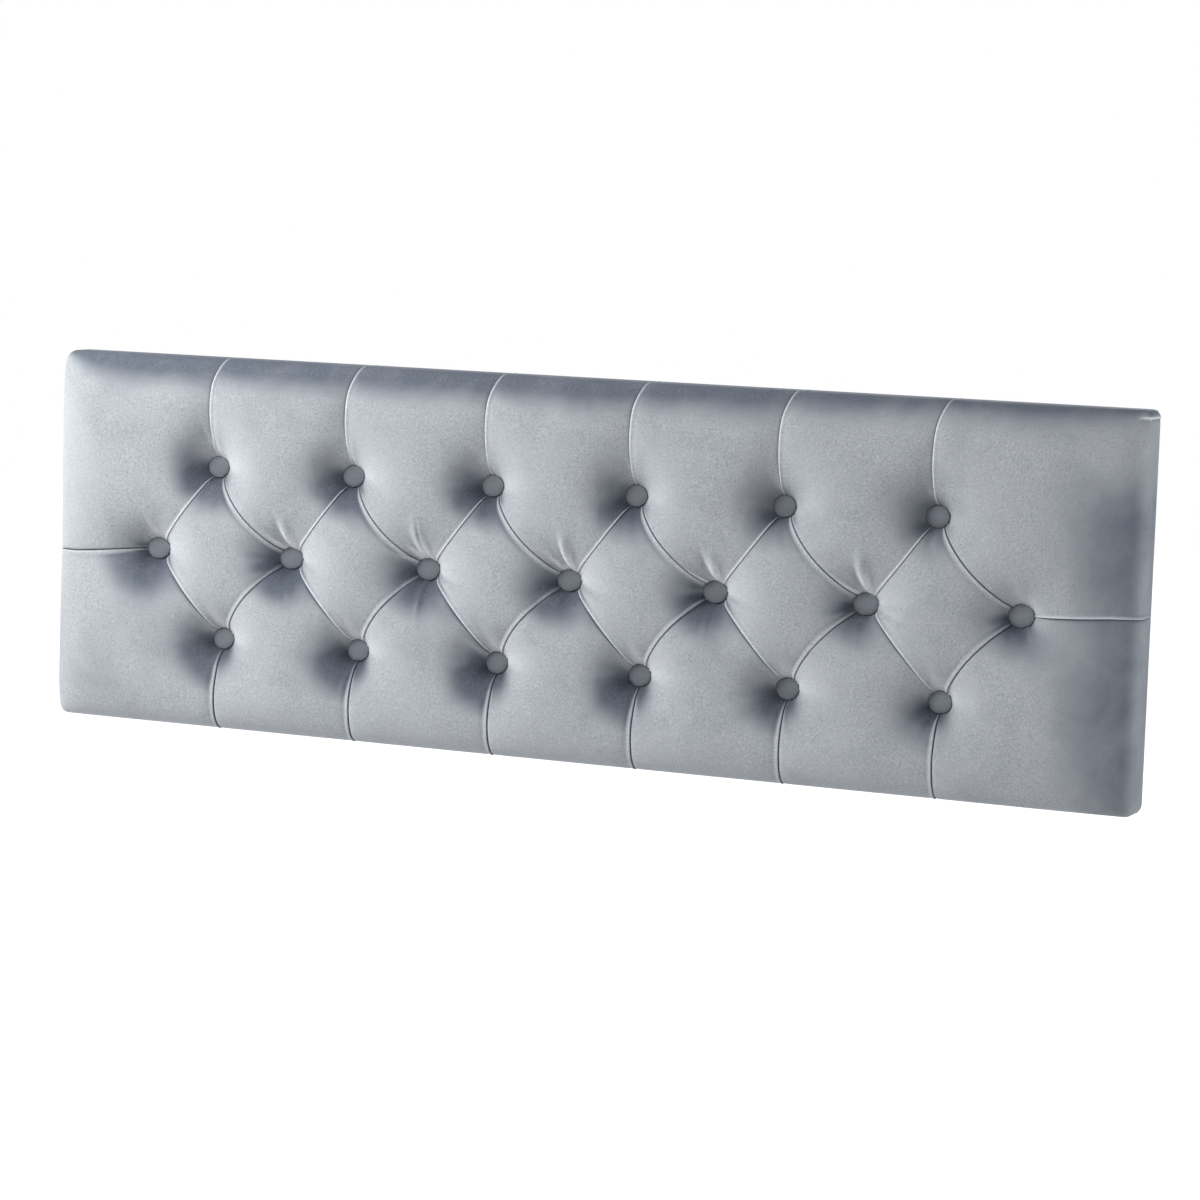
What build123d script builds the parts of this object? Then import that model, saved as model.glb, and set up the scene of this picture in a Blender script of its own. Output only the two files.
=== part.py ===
from build123d import *
import os

# Deep-buttoned headboard panel that hangs on a wall by a pair of interlocking rails.
# Millimetres. X runs along the width, Z up, and the velvet faces -Y. The wall is the plane y = 0.
# The origin lies on the wall, in the middle of the wall rail's screw holes.
# A depth is a distance from the wall, towards the room.

# Upholstered panel
PANEL_WIDTH = 1500.0
PANEL_HEIGHT = 490.0
EDGE_ROUNDING = 36.0
CORNER_RADIUS = 14.0
VELVET = 1.2
WADDING_LOFT = 1.2
DUST_CLOTH = 0.5

# Tufting: the buttons of the three rows, and where the pleats meet the panel's edge
MIDDLE_ROW_COUNT = 7
SIDE_MARGIN = 150.0
ROW_MARGIN = 131.5
GRID_DROP = 12.5
TOP_ROW_SHIFT = -14.5
MIDDLE_ROW_SHIFT = -3.0
BOTTOM_ROW_SHIFT = -1.5
TOP_PLEAT_LEAN = 3.5
LEFT_PLEAT_FALL = 15.0
RIGHT_PLEAT_RISE = 8.0
DIAMOND_BOW_SHARE = 0.13

# Swell of the quilt over the plane that the buttons are drawn down to
BUTTON_DIP = 4.0
PLEAT_SWELL = 42.0
PILLOW_SWELL = 48.0
CROWN_SWELL = 45.0
EDGE_SWELL = 40.0
EDGE_NOTCH = 35.0
SIDE_LINE = 2.5

# Where a patch's faces meet from pleat to pleat, closer beside the pleats, and round the edge
PATCH_SHARES = (0, 0.17, 0.5, 0.83, 1)
EDGE_SHARES = (0, 0.34, 0.68, 1)

# Covered buttons and their twine
BUTTON_DIAMETER = 28.0
BUTTON_THICKNESS = 6.0
BUTTON_BACK_DIAMETER = 24.0
BUTTON_RIM = 2.0
BUTTON_FIT = 0.3
BUTTON_SIDES = 16
DOME_SHOULDER_SHARE = 0.75
DOME_RISE_SHARE = 0.65
DOME_TOP_SHARE = 0.35
WELL_SIDES = 8
TWINE_DIAMETER = 1.6
TWINE_SIDES = 6
NEEDLE_FIT = 0.2
TWINE_HOLE_DIAMETER = 5.0
TIE_BAR_LENGTH = 24.0
TIE_BAR_WIDTH = 8.0
TIE_BAR_THICKNESS = 4.0
KNOT_WIDTH = 4.0

# Foam
SEWN_FOAM = 1.3
EDGE_FOAM = 15.0

# Frame and board
FRAME_DEPTH = 18.0
FRAME_WIDTH = 60.0
MID_STILE_WIDTH = 40.0
BOARD_THICKNESS = 6.0
TENON_LENGTH = 20.0
TENON_THICKNESS = 6.0
TENON_SHOULDER = 8.0
TENON_FIT = 0.1

# Hanging rails
RAIL_LENGTH = 1000.0
RAIL_SHEET = 2.0
RAIL_CLEARANCE = 0.3
RAIL_FLANGE = 24.0
HOOK_LENGTH = 12.0
HOOK_CHANNEL = 2.0
RAIL_CHAMFER = 0.6
WALL_HOLE_RADIUS = 2.5
INNER_WALL_HOLES_APART = 400.0
OUTER_WALL_HOLES_APART = 800.0
RAIL_SCREW_COUNT = 4
RAIL_SCREW_DIAMETER = 4.0
RAIL_SCREW_HEAD_DIAMETER = 8.0
RAIL_SCREW_HEAD = 2.0
RAIL_SCREW_LENGTH = 16.0
RAIL_END_MARGIN = 50.0
SCREW_FIT = 0.1

# Back of the panel
VELVET_RETURN = 60.0
DUST_COVER_INSET = 12.0
BUMPER_WIDTH = 40.0
BUMPER_INSET = 60.0
STAPLE_CROWN = 10.0
STAPLE_WIRE = 0.8
STAPLE_LEG = 6.0
STAPLE_SPACING = 120.0
DUST_STAPLE_INSET = 20.0
VELVET_STAPLE_INSET = 44.0

# A cubic's handle for a quarter of a circle, and how far a rounded corner stands in at 45 degrees
QUARTER_SHARE = 0.5523
CORNER_SHARE = 0.2929
OVERRUN = 5.0

# Depths from the wall, back to front
HOOK_BACK = RAIL_SHEET + 2 * RAIL_CLEARANCE
PANEL_RAIL_BACK = HOOK_BACK + RAIL_CLEARANCE
BACK = PANEL_RAIL_BACK + RAIL_SHEET
RETURN_BACK = BACK + DUST_CLOTH
WOOD_BACK = RETURN_BACK + VELVET
WOOD_FRONT = WOOD_BACK + FRAME_DEPTH
BOARD_FRONT = WOOD_FRONT + BOARD_THICKNESS
FOAM_SEAT = BOARD_FRONT + SEWN_FOAM
VELVET_SEAT = FOAM_SEAT + WADDING_LOFT
BUTTON_SEAT = VELVET_SEAT + VELVET
REACH = BUTTON_SEAT + PILLOW_SWELL + OVERRUN
TIE_BAR_BACK = WOOD_FRONT - TIE_BAR_THICKNESS
SCREW_HOLE_RADIUS = RAIL_SCREW_DIAMETER / 2 + SCREW_FIT

# The button grid, and the middle stiles halfway between two of its columns
BUTTON_PITCH = (PANEL_WIDTH - 2 * SIDE_MARGIN) / (MIDDLE_ROW_COUNT - 1)
ROW_PITCH = PANEL_HEIGHT / 2 - ROW_MARGIN
MID_STILE_OFFSET = 5 / 4 * BUTTON_PITCH

# Heights and widths
FOAM_INSET = VELVET + WADDING_LOFT
FRAME_INSET = FOAM_INSET + EDGE_FOAM
HOOK_TOP = RAIL_FLANGE / 2 + HOOK_CHANNEL + HOOK_LENGTH
RAIL_SCREW_LINE = HOOK_TOP + RAIL_FLANGE / 2
PANEL_TOP = RAIL_SCREW_LINE + FRAME_WIDTH / 2 + FRAME_INSET
PANEL_MIDDLE = PANEL_TOP - PANEL_HEIGHT / 2
PANEL_BOTTOM = PANEL_TOP - PANEL_HEIGHT
GRID_MIDDLE = PANEL_MIDDLE - GRID_DROP
HALF_WIDTH = PANEL_WIDTH / 2
HALF_HEIGHT = PANEL_HEIGHT / 2
FRAME_X = HALF_WIDTH - FRAME_INSET
FRAME_Z = HALF_HEIGHT - FRAME_INSET
BORDER_X = HALF_WIDTH - EDGE_ROUNDING
BORDER_Z = HALF_HEIGHT - EDGE_ROUNDING


def row_of(count, shift, height):
    """Button centres of one row, left to right, as (x, z)."""
    first = -(count - 1) / 2 * BUTTON_PITCH + shift
    return [(first + i * BUTTON_PITCH, height) for i in range(count)]


TOP_ROW = row_of(MIDDLE_ROW_COUNT - 1, TOP_ROW_SHIFT, GRID_MIDDLE + ROW_PITCH)
MIDDLE_ROW = row_of(MIDDLE_ROW_COUNT, MIDDLE_ROW_SHIFT, GRID_MIDDLE)
BOTTOM_ROW = row_of(MIDDLE_ROW_COUNT - 1, BOTTOM_ROW_SHIFT, GRID_MIDDLE - ROW_PITCH)
BUTTON_ROWS = {"top_row": TOP_ROW, "middle_row": MIDDLE_ROW, "bottom_row": BOTTOM_ROW}
BUTTONS = TOP_ROW + MIDDLE_ROW + BOTTOM_ROW
SCREW_RUN = RAIL_LENGTH / 2 - RAIL_END_MARGIN
RAIL_SCREW_PLACES = [
    (SCREW_RUN * (2 * i / (RAIL_SCREW_COUNT - 1) - 1), RAIL_SCREW_LINE)
    for i in range(RAIL_SCREW_COUNT)
]


def block(x0, x1, z0, z1, back, front):
    """A box between two depths."""
    box = Box(x1 - x0, front - back, z1 - z0)
    return Pos((x0 + x1) / 2, -(back + front) / 2, (z0 + z1) / 2) * box


def sheet(half_x, half_z, back, front):
    """A slab centred on the panel, between two depths."""
    return block(-half_x, half_x, PANEL_MIDDLE - half_z, PANEL_MIDDLE + half_z, back, front)


def discs(places, radius, back, front):
    """A round bar square to the wall at each place, between two depths."""
    bar = Rot(X=90) * Cylinder(radius, front - back)
    return [Pos(x, -(back + front) / 2, z) * bar for x, z in places]


def prisms(places, sides, radius, back, front):
    """A many-sided bar square to the wall at each place, this wide across its flats."""
    outline = RegularPolygon(radius, sides, major_radius=False)
    bar = extrude(Plane.XZ * outline, front - back)
    return [Pos(x, -back, z) * bar for x, z in places]


# The quilt is bicubic patches between the pleats, an edge band of quarter rounds, and flat sides.
# A control point is (x, z, swell), with z over the panel's middle and swell over the button seats.


def mix(a, b, share):
    """The point this share of the way from a to b."""
    return tuple(p + (q - p) * share for p, q in zip(a, b))


def line(a, b, swell_a, swell_b, towards=None):
    """The control points of a seam from a to b, whose plan bows towards a point if one is given."""
    handles = []
    for share, swell in ((1 / 3, swell_a), (2 / 3, swell_b)):
        x, z, _ = mix(a, b, share)
        if towards:
            x, z = mix((x, z), towards, DIAMOND_BOW_SHARE)
        handles.append((x, z, swell))
    return [a, *handles, b]


def slant(a, b, middle):
    """A diagonal pleat between two buttons, bowed towards its diamond's middle."""
    return line(a, b, PLEAT_SWELL, PLEAT_SWELL, middle)


def border(a, b):
    """A stretch of the line where the front turns over into the edge."""
    return line(a, b, EDGE_SWELL, EDGE_SWELL)


def patch(start, end, near, far, inner):
    """A patch's net from its edges: start and end at i = 0 and 3, near and far at j = 0 and 3.

    The plan of an inner point is blended from the edges, and inner gives its swell."""
    net = [[None] * 4 for _ in range(4)]
    for k in range(4):
        net[0][k], net[3][k] = start[k], end[k]
        net[k][0], net[k][3] = near[k], far[k]
    for i in (1, 2):
        for j in (1, 2):
            across, along = mix(start[j], end[j], i / 3), mix(near[i], far[i], j / 3)
            corners = mix(mix(start[0], start[3], j / 3), mix(end[0], end[3], j / 3), i / 3)
            x, z = (across[n] + along[n] - corners[n] for n in (0, 1))
            net[i][j] = (x, z, inner[i - 1][j - 1])
    return net


def diamond(up, right, down, left, middle):
    """A closed diamond between four buttons."""
    pillow = (PILLOW_SWELL, PILLOW_SWELL)
    return patch(
        slant(up, left, middle),
        slant(right, down, middle),
        slant(up, right, middle),
        slant(left, down, middle),
        (pillow, pillow),
    )


def open_half(notch, button, peak, crest, middle):
    """Half of an open panel: a pleat from notch to button, and a crown seam from crest to peak."""
    return patch(
        line(notch, button, PLEAT_SWELL, PLEAT_SWELL),
        line(crest, peak, CROWN_SWELL, PILLOW_SWELL),
        border(notch, crest),
        slant(button, peak, middle),
        ((CROWN_SWELL, PILLOW_SWELL), (CROWN_SWELL, PILLOW_SWELL)),
    )


def side_half(side, corner, notch, peak):
    """The part of a corner panel beside the side edge, down to the side pleat."""
    return patch(
        border(side, notch),
        line(corner, peak, CROWN_SWELL, PILLOW_SWELL),
        border(side, corner),
        line(notch, peak, PLEAT_SWELL, PLEAT_SWELL),
        ((EDGE_SWELL, PILLOW_SWELL), (CROWN_SWELL, PILLOW_SWELL)),
    )


def edge_band(front, out_x, out_z, reach):
    """The rounded edge from a stretch of the border, outwards and down to the side line."""
    net = []
    for x, z, swell in front:
        over = (x + out_x * reach * QUARTER_SHARE, z + out_z * reach * QUARTER_SHARE, swell)
        edge = (x + out_x * reach, z + out_z * reach)
        turn = mix((swell,), (SIDE_LINE,), QUARTER_SHARE)
        net.append([(x, z, swell), over, (*edge, *turn), (*edge, SIDE_LINE)])
    return net


def rounded_corner(corner, out_x, out_z, reach, radius):
    """A corner of the edge, from the border's corner to a rounded corner of the side line.

    Its swell falls off as the product of two quarter rounds."""
    x, z, swell = corner
    far_x, far_z = x + out_x * reach, z + out_z * reach
    turn, mid = 2 * CORNER_SHARE * radius, CORNER_SHARE * radius
    rows = [(x, far_z), (far_x - out_x * (reach + turn) / 2, far_z), (far_x - out_x * turn, far_z)]
    cols = [(far_x, z), (far_x, far_z - out_z * (reach + turn) / 2), (far_x, far_z - out_z * turn)]
    tip = (far_x - out_x * mid, far_z - out_z * mid)
    fall = (1, 1, 1 - QUARTER_SHARE, 0)
    spread = (0, QUARTER_SHARE, 1, 1)
    top_edge = [(*mix((x, z), (x, far_z), s), 0) for s in spread]
    side_edge = [(*mix((x, z), (far_x, z), s), 0) for s in spread]
    across = [(*p, 0) for p in (*rows, tip)]
    down = [(*p, 0) for p in (*cols, tip)]
    plan = patch(side_edge, across, top_edge, down, ((0, 0), (0, 0)))
    return [
        [(px, pz, SIDE_LINE + (swell - SIDE_LINE) * fall[i] * fall[j]) for j, (px, pz, _) in enumerate(row)]
        for i, row in enumerate(plan)
    ]


def front_nets():
    """The nets of the front between the pleats, and the border's stretches with their way out."""
    nets, stretches = [], []
    middle = [tuft(place) for place in MIDDLE_ROW]
    corners = {(sx, sz): (sx * BORDER_X, sz * BORDER_Z, EDGE_SWELL) for sx in (-1, 1) for sz in (-1, 1)}
    for row, lean, sz in ((TOP_ROW, TOP_PLEAT_LEAN, 1), (BOTTOM_ROW, 0, -1)):
        buttons = [tuft(place) for place in row]
        notches = [(x + lean, sz * BORDER_Z, EDGE_NOTCH) for x, _, _ in buttons]
        between = [(*mix(a, b, 1 / 2)[:2], EDGE_SWELL) for a, b in zip(notches, notches[1:])]
        crests = [corners[-1, sz], *between, corners[1, sz]]
        for i, button in enumerate(buttons):
            heart = diamond_middle(i)
            for k in (i, i + 1):
                nets.append(open_half(notches[i], button, middle[k], crests[k], heart))
                stretches.append((border(notches[i], crests[k]), 0, sz))
    for i, (up, down) in enumerate(zip(TOP_ROW, BOTTOM_ROW)):
        nets.append(diamond(tuft(up), middle[i + 1], tuft(down), middle[i], diamond_middle(i)))
    for sx, peak, rise in ((-1, middle[0], -LEFT_PLEAT_FALL), (1, middle[-1], RIGHT_PLEAT_RISE)):
        notch = (sx * BORDER_X, peak[1] + rise, EDGE_NOTCH)
        for sz in (-1, 1):
            side = (*mix(notch, corners[sx, sz], 1 / 2)[:2], EDGE_SWELL)
            nets.append(side_half(side, corners[sx, sz], notch, peak))
            stretches += [(border(side, notch), sx, 0), (border(side, corners[sx, sz]), sx, 0)]
    return nets, stretches, corners


def tuft(place):
    """The quilt's point at a button."""
    return (place[0], place[1] - PANEL_MIDDLE, BUTTON_DIP)


def diamond_middle(i):
    """The plan point in the middle of a diamond."""
    x = (MIDDLE_ROW[i][0] + MIDDLE_ROW[i + 1][0]) / 2
    return (x, GRID_MIDDLE - PANEL_MIDDLE)


def on_curve(points, share):
    """The point of a cubic at this share of its parameter."""
    rest = 1 - share
    weights = (rest ** 3, 3 * rest ** 2 * share, 3 * rest * share ** 2, share ** 3)
    return tuple(sum(w * p[n] for w, p in zip(weights, points)) for n in range(len(points[0])))


def lattice(net, across, along):
    """Points of a patch at these shares of its two parameters."""
    rows = [[on_curve(row, share) for share in along] for row in net]
    crossed = [[on_curve(column, share) for share in across] for column in zip(*rows)]
    return list(zip(*crossed))


def flat(*corners):
    """A flat face between its corners."""
    return Face(Wire.make_polygon(corners))


def facets(grid):
    """Two flat faces for each cell of a grid of points, split so that the cell stands proud."""
    faces = []
    for low, high in zip(grid, grid[1:]):
        for a, b, c, d in zip(low, low[1:], high, high[1:]):
            if a.Y + d.Y < b.Y + c.Y:
                faces += [flat(a, b, d), flat(a, d, c)]
            else:
                faces += [flat(a, b, c), flat(b, d, c)]
    return faces


def quilt(inset, back):
    """The upholstery's closed form, drawn in from the velvet's face, with its back at a depth."""
    reach, radius = EDGE_ROUNDING - inset, CORNER_RADIUS - inset
    nets, stretches, corners = front_nets()
    bands = [edge_band(front, out_x, out_z, reach) for front, out_x, out_z in stretches]
    rounds = [rounded_corner(p, sx, sz, reach, radius) for (sx, sz), p in corners.items()]

    def placed(net, across, along):
        return [
            [Vector(x, inset - BUTTON_SEAT - swell, z + PANEL_MIDDLE) for x, z, swell in row]
            for row in lattice(net, across, along)
        ]

    front = [placed(net, PATCH_SHARES, PATCH_SHARES) for net in nets]
    edge = [placed(net, PATCH_SHARES, EDGE_SHARES) for net in bands]
    turns = [placed(net, EDGE_SHARES, EDGE_SHARES) for net in rounds]
    outline = [[row[-1] for row in grid] for grid in edge + turns] + [grid[-1] for grid in turns]
    faces = [face for grid in front + edge + turns for face in facets(grid)]
    rim = []
    for run in outline:
        for a, b in zip(run, run[1:]):
            far_a, far_b = Vector(a.X, -back, a.Z), Vector(b.X, -back, b.Z)
            faces.append(flat(a, b, far_b, far_a))
            rim.append(Edge.make_line(far_a, far_b))
    return Solid(Shell([*faces, Face(Wire(rim))]))


# Soft pieces

def wells(floor, clearance):
    """The wells that the buttons sit in, a flat side between folds, from a floor out to the front."""
    radius = BUTTON_DIAMETER / 2 + BUTTON_FIT + clearance
    return prisms(BUTTONS, WELL_SIDES, radius, floor, REACH)


def needle_holes(back, front):
    """The holes that the twine is sewn through."""
    return prisms(BUTTONS, TWINE_SIDES, TWINE_DIAMETER / 2 + NEEDLE_FIT, back, front)


def velvet_cover():
    """One skin: the quilted front, the wells, the wrapped sides and the edge turned over at the back."""
    outside = quilt(0, RETURN_BACK).cut(*wells(BUTTON_SEAT, 0))
    inside = quilt(VELVET, WOOD_BACK).cut(*wells(VELVET_SEAT, VELVET))
    opening = sheet(HALF_WIDTH - VELVET_RETURN, HALF_HEIGHT - VELVET_RETURN, BACK, WOOD_BACK + VELVET)
    return outside.cut(inside).cut(opening, *needle_holes(WOOD_BACK, BUTTON_SEAT + OVERRUN))


def foam_pad():
    """The foam on the board, drawn down at each button, with its layer of wadding."""
    pad = quilt(FOAM_INSET, BOARD_FRONT).cut(*wells(FOAM_SEAT, FOAM_INSET))
    return pad.cut(*needle_holes(BACK, FOAM_SEAT + OVERRUN))


def edge_foams():
    """The strips of foam glued round the frame's edge, the long ones over the short ones' ends."""
    half_x, half_z = HALF_WIDTH - FOAM_INSET, HALF_HEIGHT - FOAM_INSET
    slab = sheet(half_x, half_z, WOOD_BACK, BOARD_FRONT)
    slab = fillet(slab.edges().filter_by(Axis.Y), CORNER_RADIUS - FOAM_INSET)
    ring = slab - sheet(FRAME_X, FRAME_Z, BACK, REACH)
    over, under = PANEL_MIDDLE + FRAME_Z, PANEL_MIDDLE - FRAME_Z
    return {
        "edge_foam_top": ring & block(-HALF_WIDTH, HALF_WIDTH, over, PANEL_TOP, BACK, REACH),
        "edge_foam_bottom": ring & block(-HALF_WIDTH, HALF_WIDTH, PANEL_BOTTOM, under, BACK, REACH),
        "edge_foam_left": ring & block(-HALF_WIDTH, -FRAME_X, under, over, BACK, REACH),
        "edge_foam_right": ring & block(FRAME_X, HALF_WIDTH, under, over, BACK, REACH),
    }


def dust_cover():
    """Thin cloth over the back, with the hanging rail screwed on through it."""
    return sheet(HALF_WIDTH - DUST_COVER_INSET, HALF_HEIGHT - DUST_COVER_INSET, BACK, RETURN_BACK)


# Buttons, and the twine that draws them down

def buttons(places):
    """Domed buttons with a turned-in back, seated on the velvet in their wells."""
    radius = BUTTON_DIAMETER / 2
    rings = [
        (BUTTON_BACK_DIAMETER / 2, 0),
        (radius, BUTTON_RIM),
        (radius * DOME_SHOULDER_SHARE, BUTTON_RIM + (BUTTON_THICKNESS - BUTTON_RIM) * DOME_RISE_SHARE),
        (radius * DOME_TOP_SHARE, BUTTON_THICKNESS),
    ]
    outlines = [
        Pos(0, -height, 0) * (Plane.XZ * RegularPolygon(size, BUTTON_SIDES)) for size, height in rings
    ]
    button = loft(outlines, ruled=True)
    return [Pos(x, -BUTTON_SEAT, z) * button for x, z in places]


def twines():
    """Twine from each button's back to a knot behind its tie bar."""
    knot_back = TIE_BAR_BACK - KNOT_WIDTH
    strands = prisms(BUTTONS, TWINE_SIDES, TWINE_DIAMETER / 2, TIE_BAR_BACK, BUTTON_SEAT)
    knots = prisms(BUTTONS, TWINE_SIDES, KNOT_WIDTH / 2, knot_back, TIE_BAR_BACK)
    return [strand + knot for strand, knot in zip(strands, knots)]


def tie_bars():
    """Slips of wood behind the board, which the twine is tied over."""
    bars = []
    for (x, z), hole in zip(BUTTONS, needle_holes(BACK, BOARD_FRONT)):
        half, side = TIE_BAR_LENGTH / 2, TIE_BAR_WIDTH / 2
        bars.append(block(x - side, x + side, z - half, z + half, TIE_BAR_BACK, WOOD_FRONT) - hole)
    return bars


# Frame and board

def button_board():
    """Plywood over the whole frame, with a hole for each button's twine."""
    board = sheet(FRAME_X, FRAME_Z, WOOD_FRONT, BOARD_FRONT)
    holes = prisms(BUTTONS, TWINE_SIDES, TWINE_HOLE_DIAMETER / 2, WOOD_FRONT - OVERRUN, REACH)
    return board.cut(*holes)


def stile(x0, x1):
    """An upright between the rails, with a stub tenon on each end."""
    over, under = PANEL_MIDDLE + FRAME_Z - FRAME_WIDTH, PANEL_MIDDLE - FRAME_Z + FRAME_WIDTH
    return block(x0, x1, under, over, WOOD_BACK, WOOD_FRONT) + tenon(x0, x1, 0)


def tenon(x0, x1, fit):
    """The bar that makes a stile's two tenons, or with a fit the mortises that take them."""
    reach = PANEL_MIDDLE + FRAME_Z - FRAME_WIDTH + TENON_LENGTH + fit
    foot = PANEL_MIDDLE - FRAME_Z + FRAME_WIDTH - TENON_LENGTH - fit
    middle, half = (WOOD_BACK + WOOD_FRONT) / 2, TENON_THICKNESS / 2 + fit
    side = TENON_SHOULDER - fit
    return block(x0 + side, x1 - side, foot, reach, middle - half, middle + half)


def frame():
    """Two long rails with four stiles between them."""
    over, under = PANEL_MIDDLE + FRAME_Z, PANEL_MIDDLE - FRAME_Z
    half = MID_STILE_WIDTH / 2
    uprights = {
        "left_stile": (-FRAME_X, FRAME_WIDTH - FRAME_X),
        "left_mid_stile": (-MID_STILE_OFFSET - half, -MID_STILE_OFFSET + half),
        "right_mid_stile": (MID_STILE_OFFSET - half, MID_STILE_OFFSET + half),
        "right_stile": (FRAME_X - FRAME_WIDTH, FRAME_X),
    }
    mortises = [tenon(*sides, TENON_FIT) for sides in uprights.values()]
    top = block(-FRAME_X, FRAME_X, over - FRAME_WIDTH, over, WOOD_BACK, WOOD_FRONT)
    bottom = block(-FRAME_X, FRAME_X, under, under + FRAME_WIDTH, WOOD_BACK, WOOD_FRONT)
    pieces = {"top_rail": top.cut(*mortises), "bottom_rail": bottom.cut(*mortises)}
    return pieces | {name: stile(*sides) for name, sides in uprights.items()}


# Hanging rails

def rail(outline):
    """A rail drawn along X, from the depths and heights of its section."""
    points = [(-RAIL_LENGTH / 2, -depth, height) for depth, height in outline]
    return extrude(make_face(Polyline(*points, close=True)), RAIL_LENGTH, dir=(1, 0, 0))


def wall_rail():
    """The rail on the wall, its hook standing off the wall and pointing up."""
    flange, web = RAIL_FLANGE / 2, RAIL_FLANGE / 2 - RAIL_SHEET
    front, cut = HOOK_BACK + RAIL_SHEET, RAIL_CHAMFER
    section = [
        (0, -flange), (RAIL_SHEET, -flange), (RAIL_SHEET, web), (front, web),
        (front, HOOK_TOP - cut), (front - cut, HOOK_TOP), (HOOK_BACK + cut, HOOK_TOP),
        (HOOK_BACK, HOOK_TOP - cut), (HOOK_BACK, flange), (0, flange),
    ]
    apart = (OUTER_WALL_HOLES_APART, INNER_WALL_HOLES_APART)
    places = [(side * spread / 2, 0) for spread in apart for side in (-1, 1)]
    return rail(section).cut(*discs(places, WALL_HOLE_RADIUS, -OVERRUN, RAIL_SHEET + VELVET))


def panel_rail():
    """The rail on the panel, its hook behind the wall rail's and resting on it by the web."""
    foot, cut = HOOK_TOP - HOOK_LENGTH, RAIL_CHAMFER
    near, far = RAIL_CLEARANCE, RAIL_CLEARANCE + RAIL_SHEET
    web = HOOK_TOP + RAIL_SHEET
    section = [
        (BACK, HOOK_TOP), (BACK, HOOK_TOP + RAIL_FLANGE), (PANEL_RAIL_BACK, HOOK_TOP + RAIL_FLANGE),
        (PANEL_RAIL_BACK, web), (near, web), (near, foot + cut), (near + cut, foot),
        (far - cut, foot), (far, foot + cut), (far, HOOK_TOP),
    ]
    return rail(section).cut(*discs(RAIL_SCREW_PLACES, SCREW_HOLE_RADIUS, RAIL_CLEARANCE, BACK + VELVET))


def rail_screws():
    """Pan-headed screws through the rail into the top rail of the frame."""
    head, shank = RAIL_SCREW_HEAD_DIAMETER / 2, RAIL_SCREW_DIAMETER / 2
    outline = [
        (0, -RAIL_SCREW_HEAD), (head, -RAIL_SCREW_HEAD), (head, 0), (shank, 0),
        (shank, RAIL_SCREW_LENGTH), (0, RAIL_SCREW_LENGTH),
    ]
    screw = Rot(X=180) * revolve(make_face(Polyline(*outline, close=True)), Axis.Y)
    return [Pos(x, -PANEL_RAIL_BACK, z) * screw for x, z in RAIL_SCREW_PLACES]


# Staples and bumpers

def staples(inset, crown_back):
    """Staples round the back at a distance from the panel's edge, their crowns along it."""
    half_x, half_z = HALF_WIDTH - inset, HALF_HEIGHT - inset
    made = []
    for half_run, half_off, turned in ((half_x, half_z, False), (half_z, half_x, True)):
        count = round(2 * half_run / STAPLE_SPACING)
        step = 2 * half_run / count
        for k in range(count):
            run = -half_run + (k + 1 / 2) * step
            for off in (-half_off, half_off):
                x, z = (off, run) if turned else (run, off)
                made.append(Pos(x, -crown_back, z + PANEL_MIDDLE) * staple(turned))
    return made


def staple(turned):
    """One staple, its crown's back at the origin's depth and its legs towards the room."""
    half, wire = STAPLE_CROWN / 2, STAPLE_WIRE
    outline = [
        (-half, 0), (half, 0), (half, -STAPLE_LEG), (half - wire, -STAPLE_LEG),
        (half - wire, -wire), (wire - half, -wire), (wire - half, -STAPLE_LEG), (-half, -STAPLE_LEG),
    ]
    bent = extrude(make_face(Polyline(*outline, close=True)), wire / 2, both=True)
    return Rot(Y=90) * bent if turned else bent


def bumper(side):
    """A felt pad that holds the panel's foot as far off the wall as the rails do."""
    x, z, half = side * (HALF_WIDTH - BUMPER_INSET), PANEL_BOTTOM + BUMPER_INSET, BUMPER_WIDTH / 2
    return block(x - half, x + half, z - half, z + half, 0, BACK)


def pieces():
    """Every node's solids, by the node's name."""
    made = {
        "velvet_cover": velvet_cover(),
        "foam_pad": foam_pad(),
        "button_board": button_board(),
        "dust_cover": dust_cover(),
        "button_twines": twines(),
        "tie_bars": tie_bars(),
        "wall_rail": wall_rail(),
        "panel_rail": panel_rail(),
        "panel_rail_screws": rail_screws(),
        "dust_cover_staples": staples(DUST_STAPLE_INSET, BACK - STAPLE_WIRE),
        "velvet_staples": staples(VELVET_STAPLE_INSET, RETURN_BACK),
        "left_bumper": bumper(-1),
        "right_bumper": bumper(1),
    }
    made |= {f"{row}_buttons": buttons(places) for row, places in BUTTON_ROWS.items()}
    return made | edge_foams() | frame()


os.makedirs("parts", exist_ok=True)
for name, made in pieces().items():
    solids = [solid for item in (made if isinstance(made, list) else [made]) for solid in item.solids()]
    shape = solids[0] if len(solids) == 1 else Compound(solids)
    export_step(shape, f"parts/{name}.step")
    print(f"{name}: {len(solids)} solids, {sum(solid.volume for solid in solids):.0f} mm3")
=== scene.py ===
"""Looks of a deep-buttoned velvet headboard panel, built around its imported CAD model.

Lengths inside the shape functions are millimetres in the part's frame: X along the panel,
Z up, the velvet facing -Y and the wall at y = 0. A depth is a distance from the wall, and a
plan is (x, z) with z counted from the panel's middle.
"""

import math

import bpy
import numpy as np
from bpy.props import FloatProperty, FloatVectorProperty, PointerProperty
from bpy.types import Operator, Panel, PropertyGroup
from mathutils import Matrix, Vector


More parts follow.
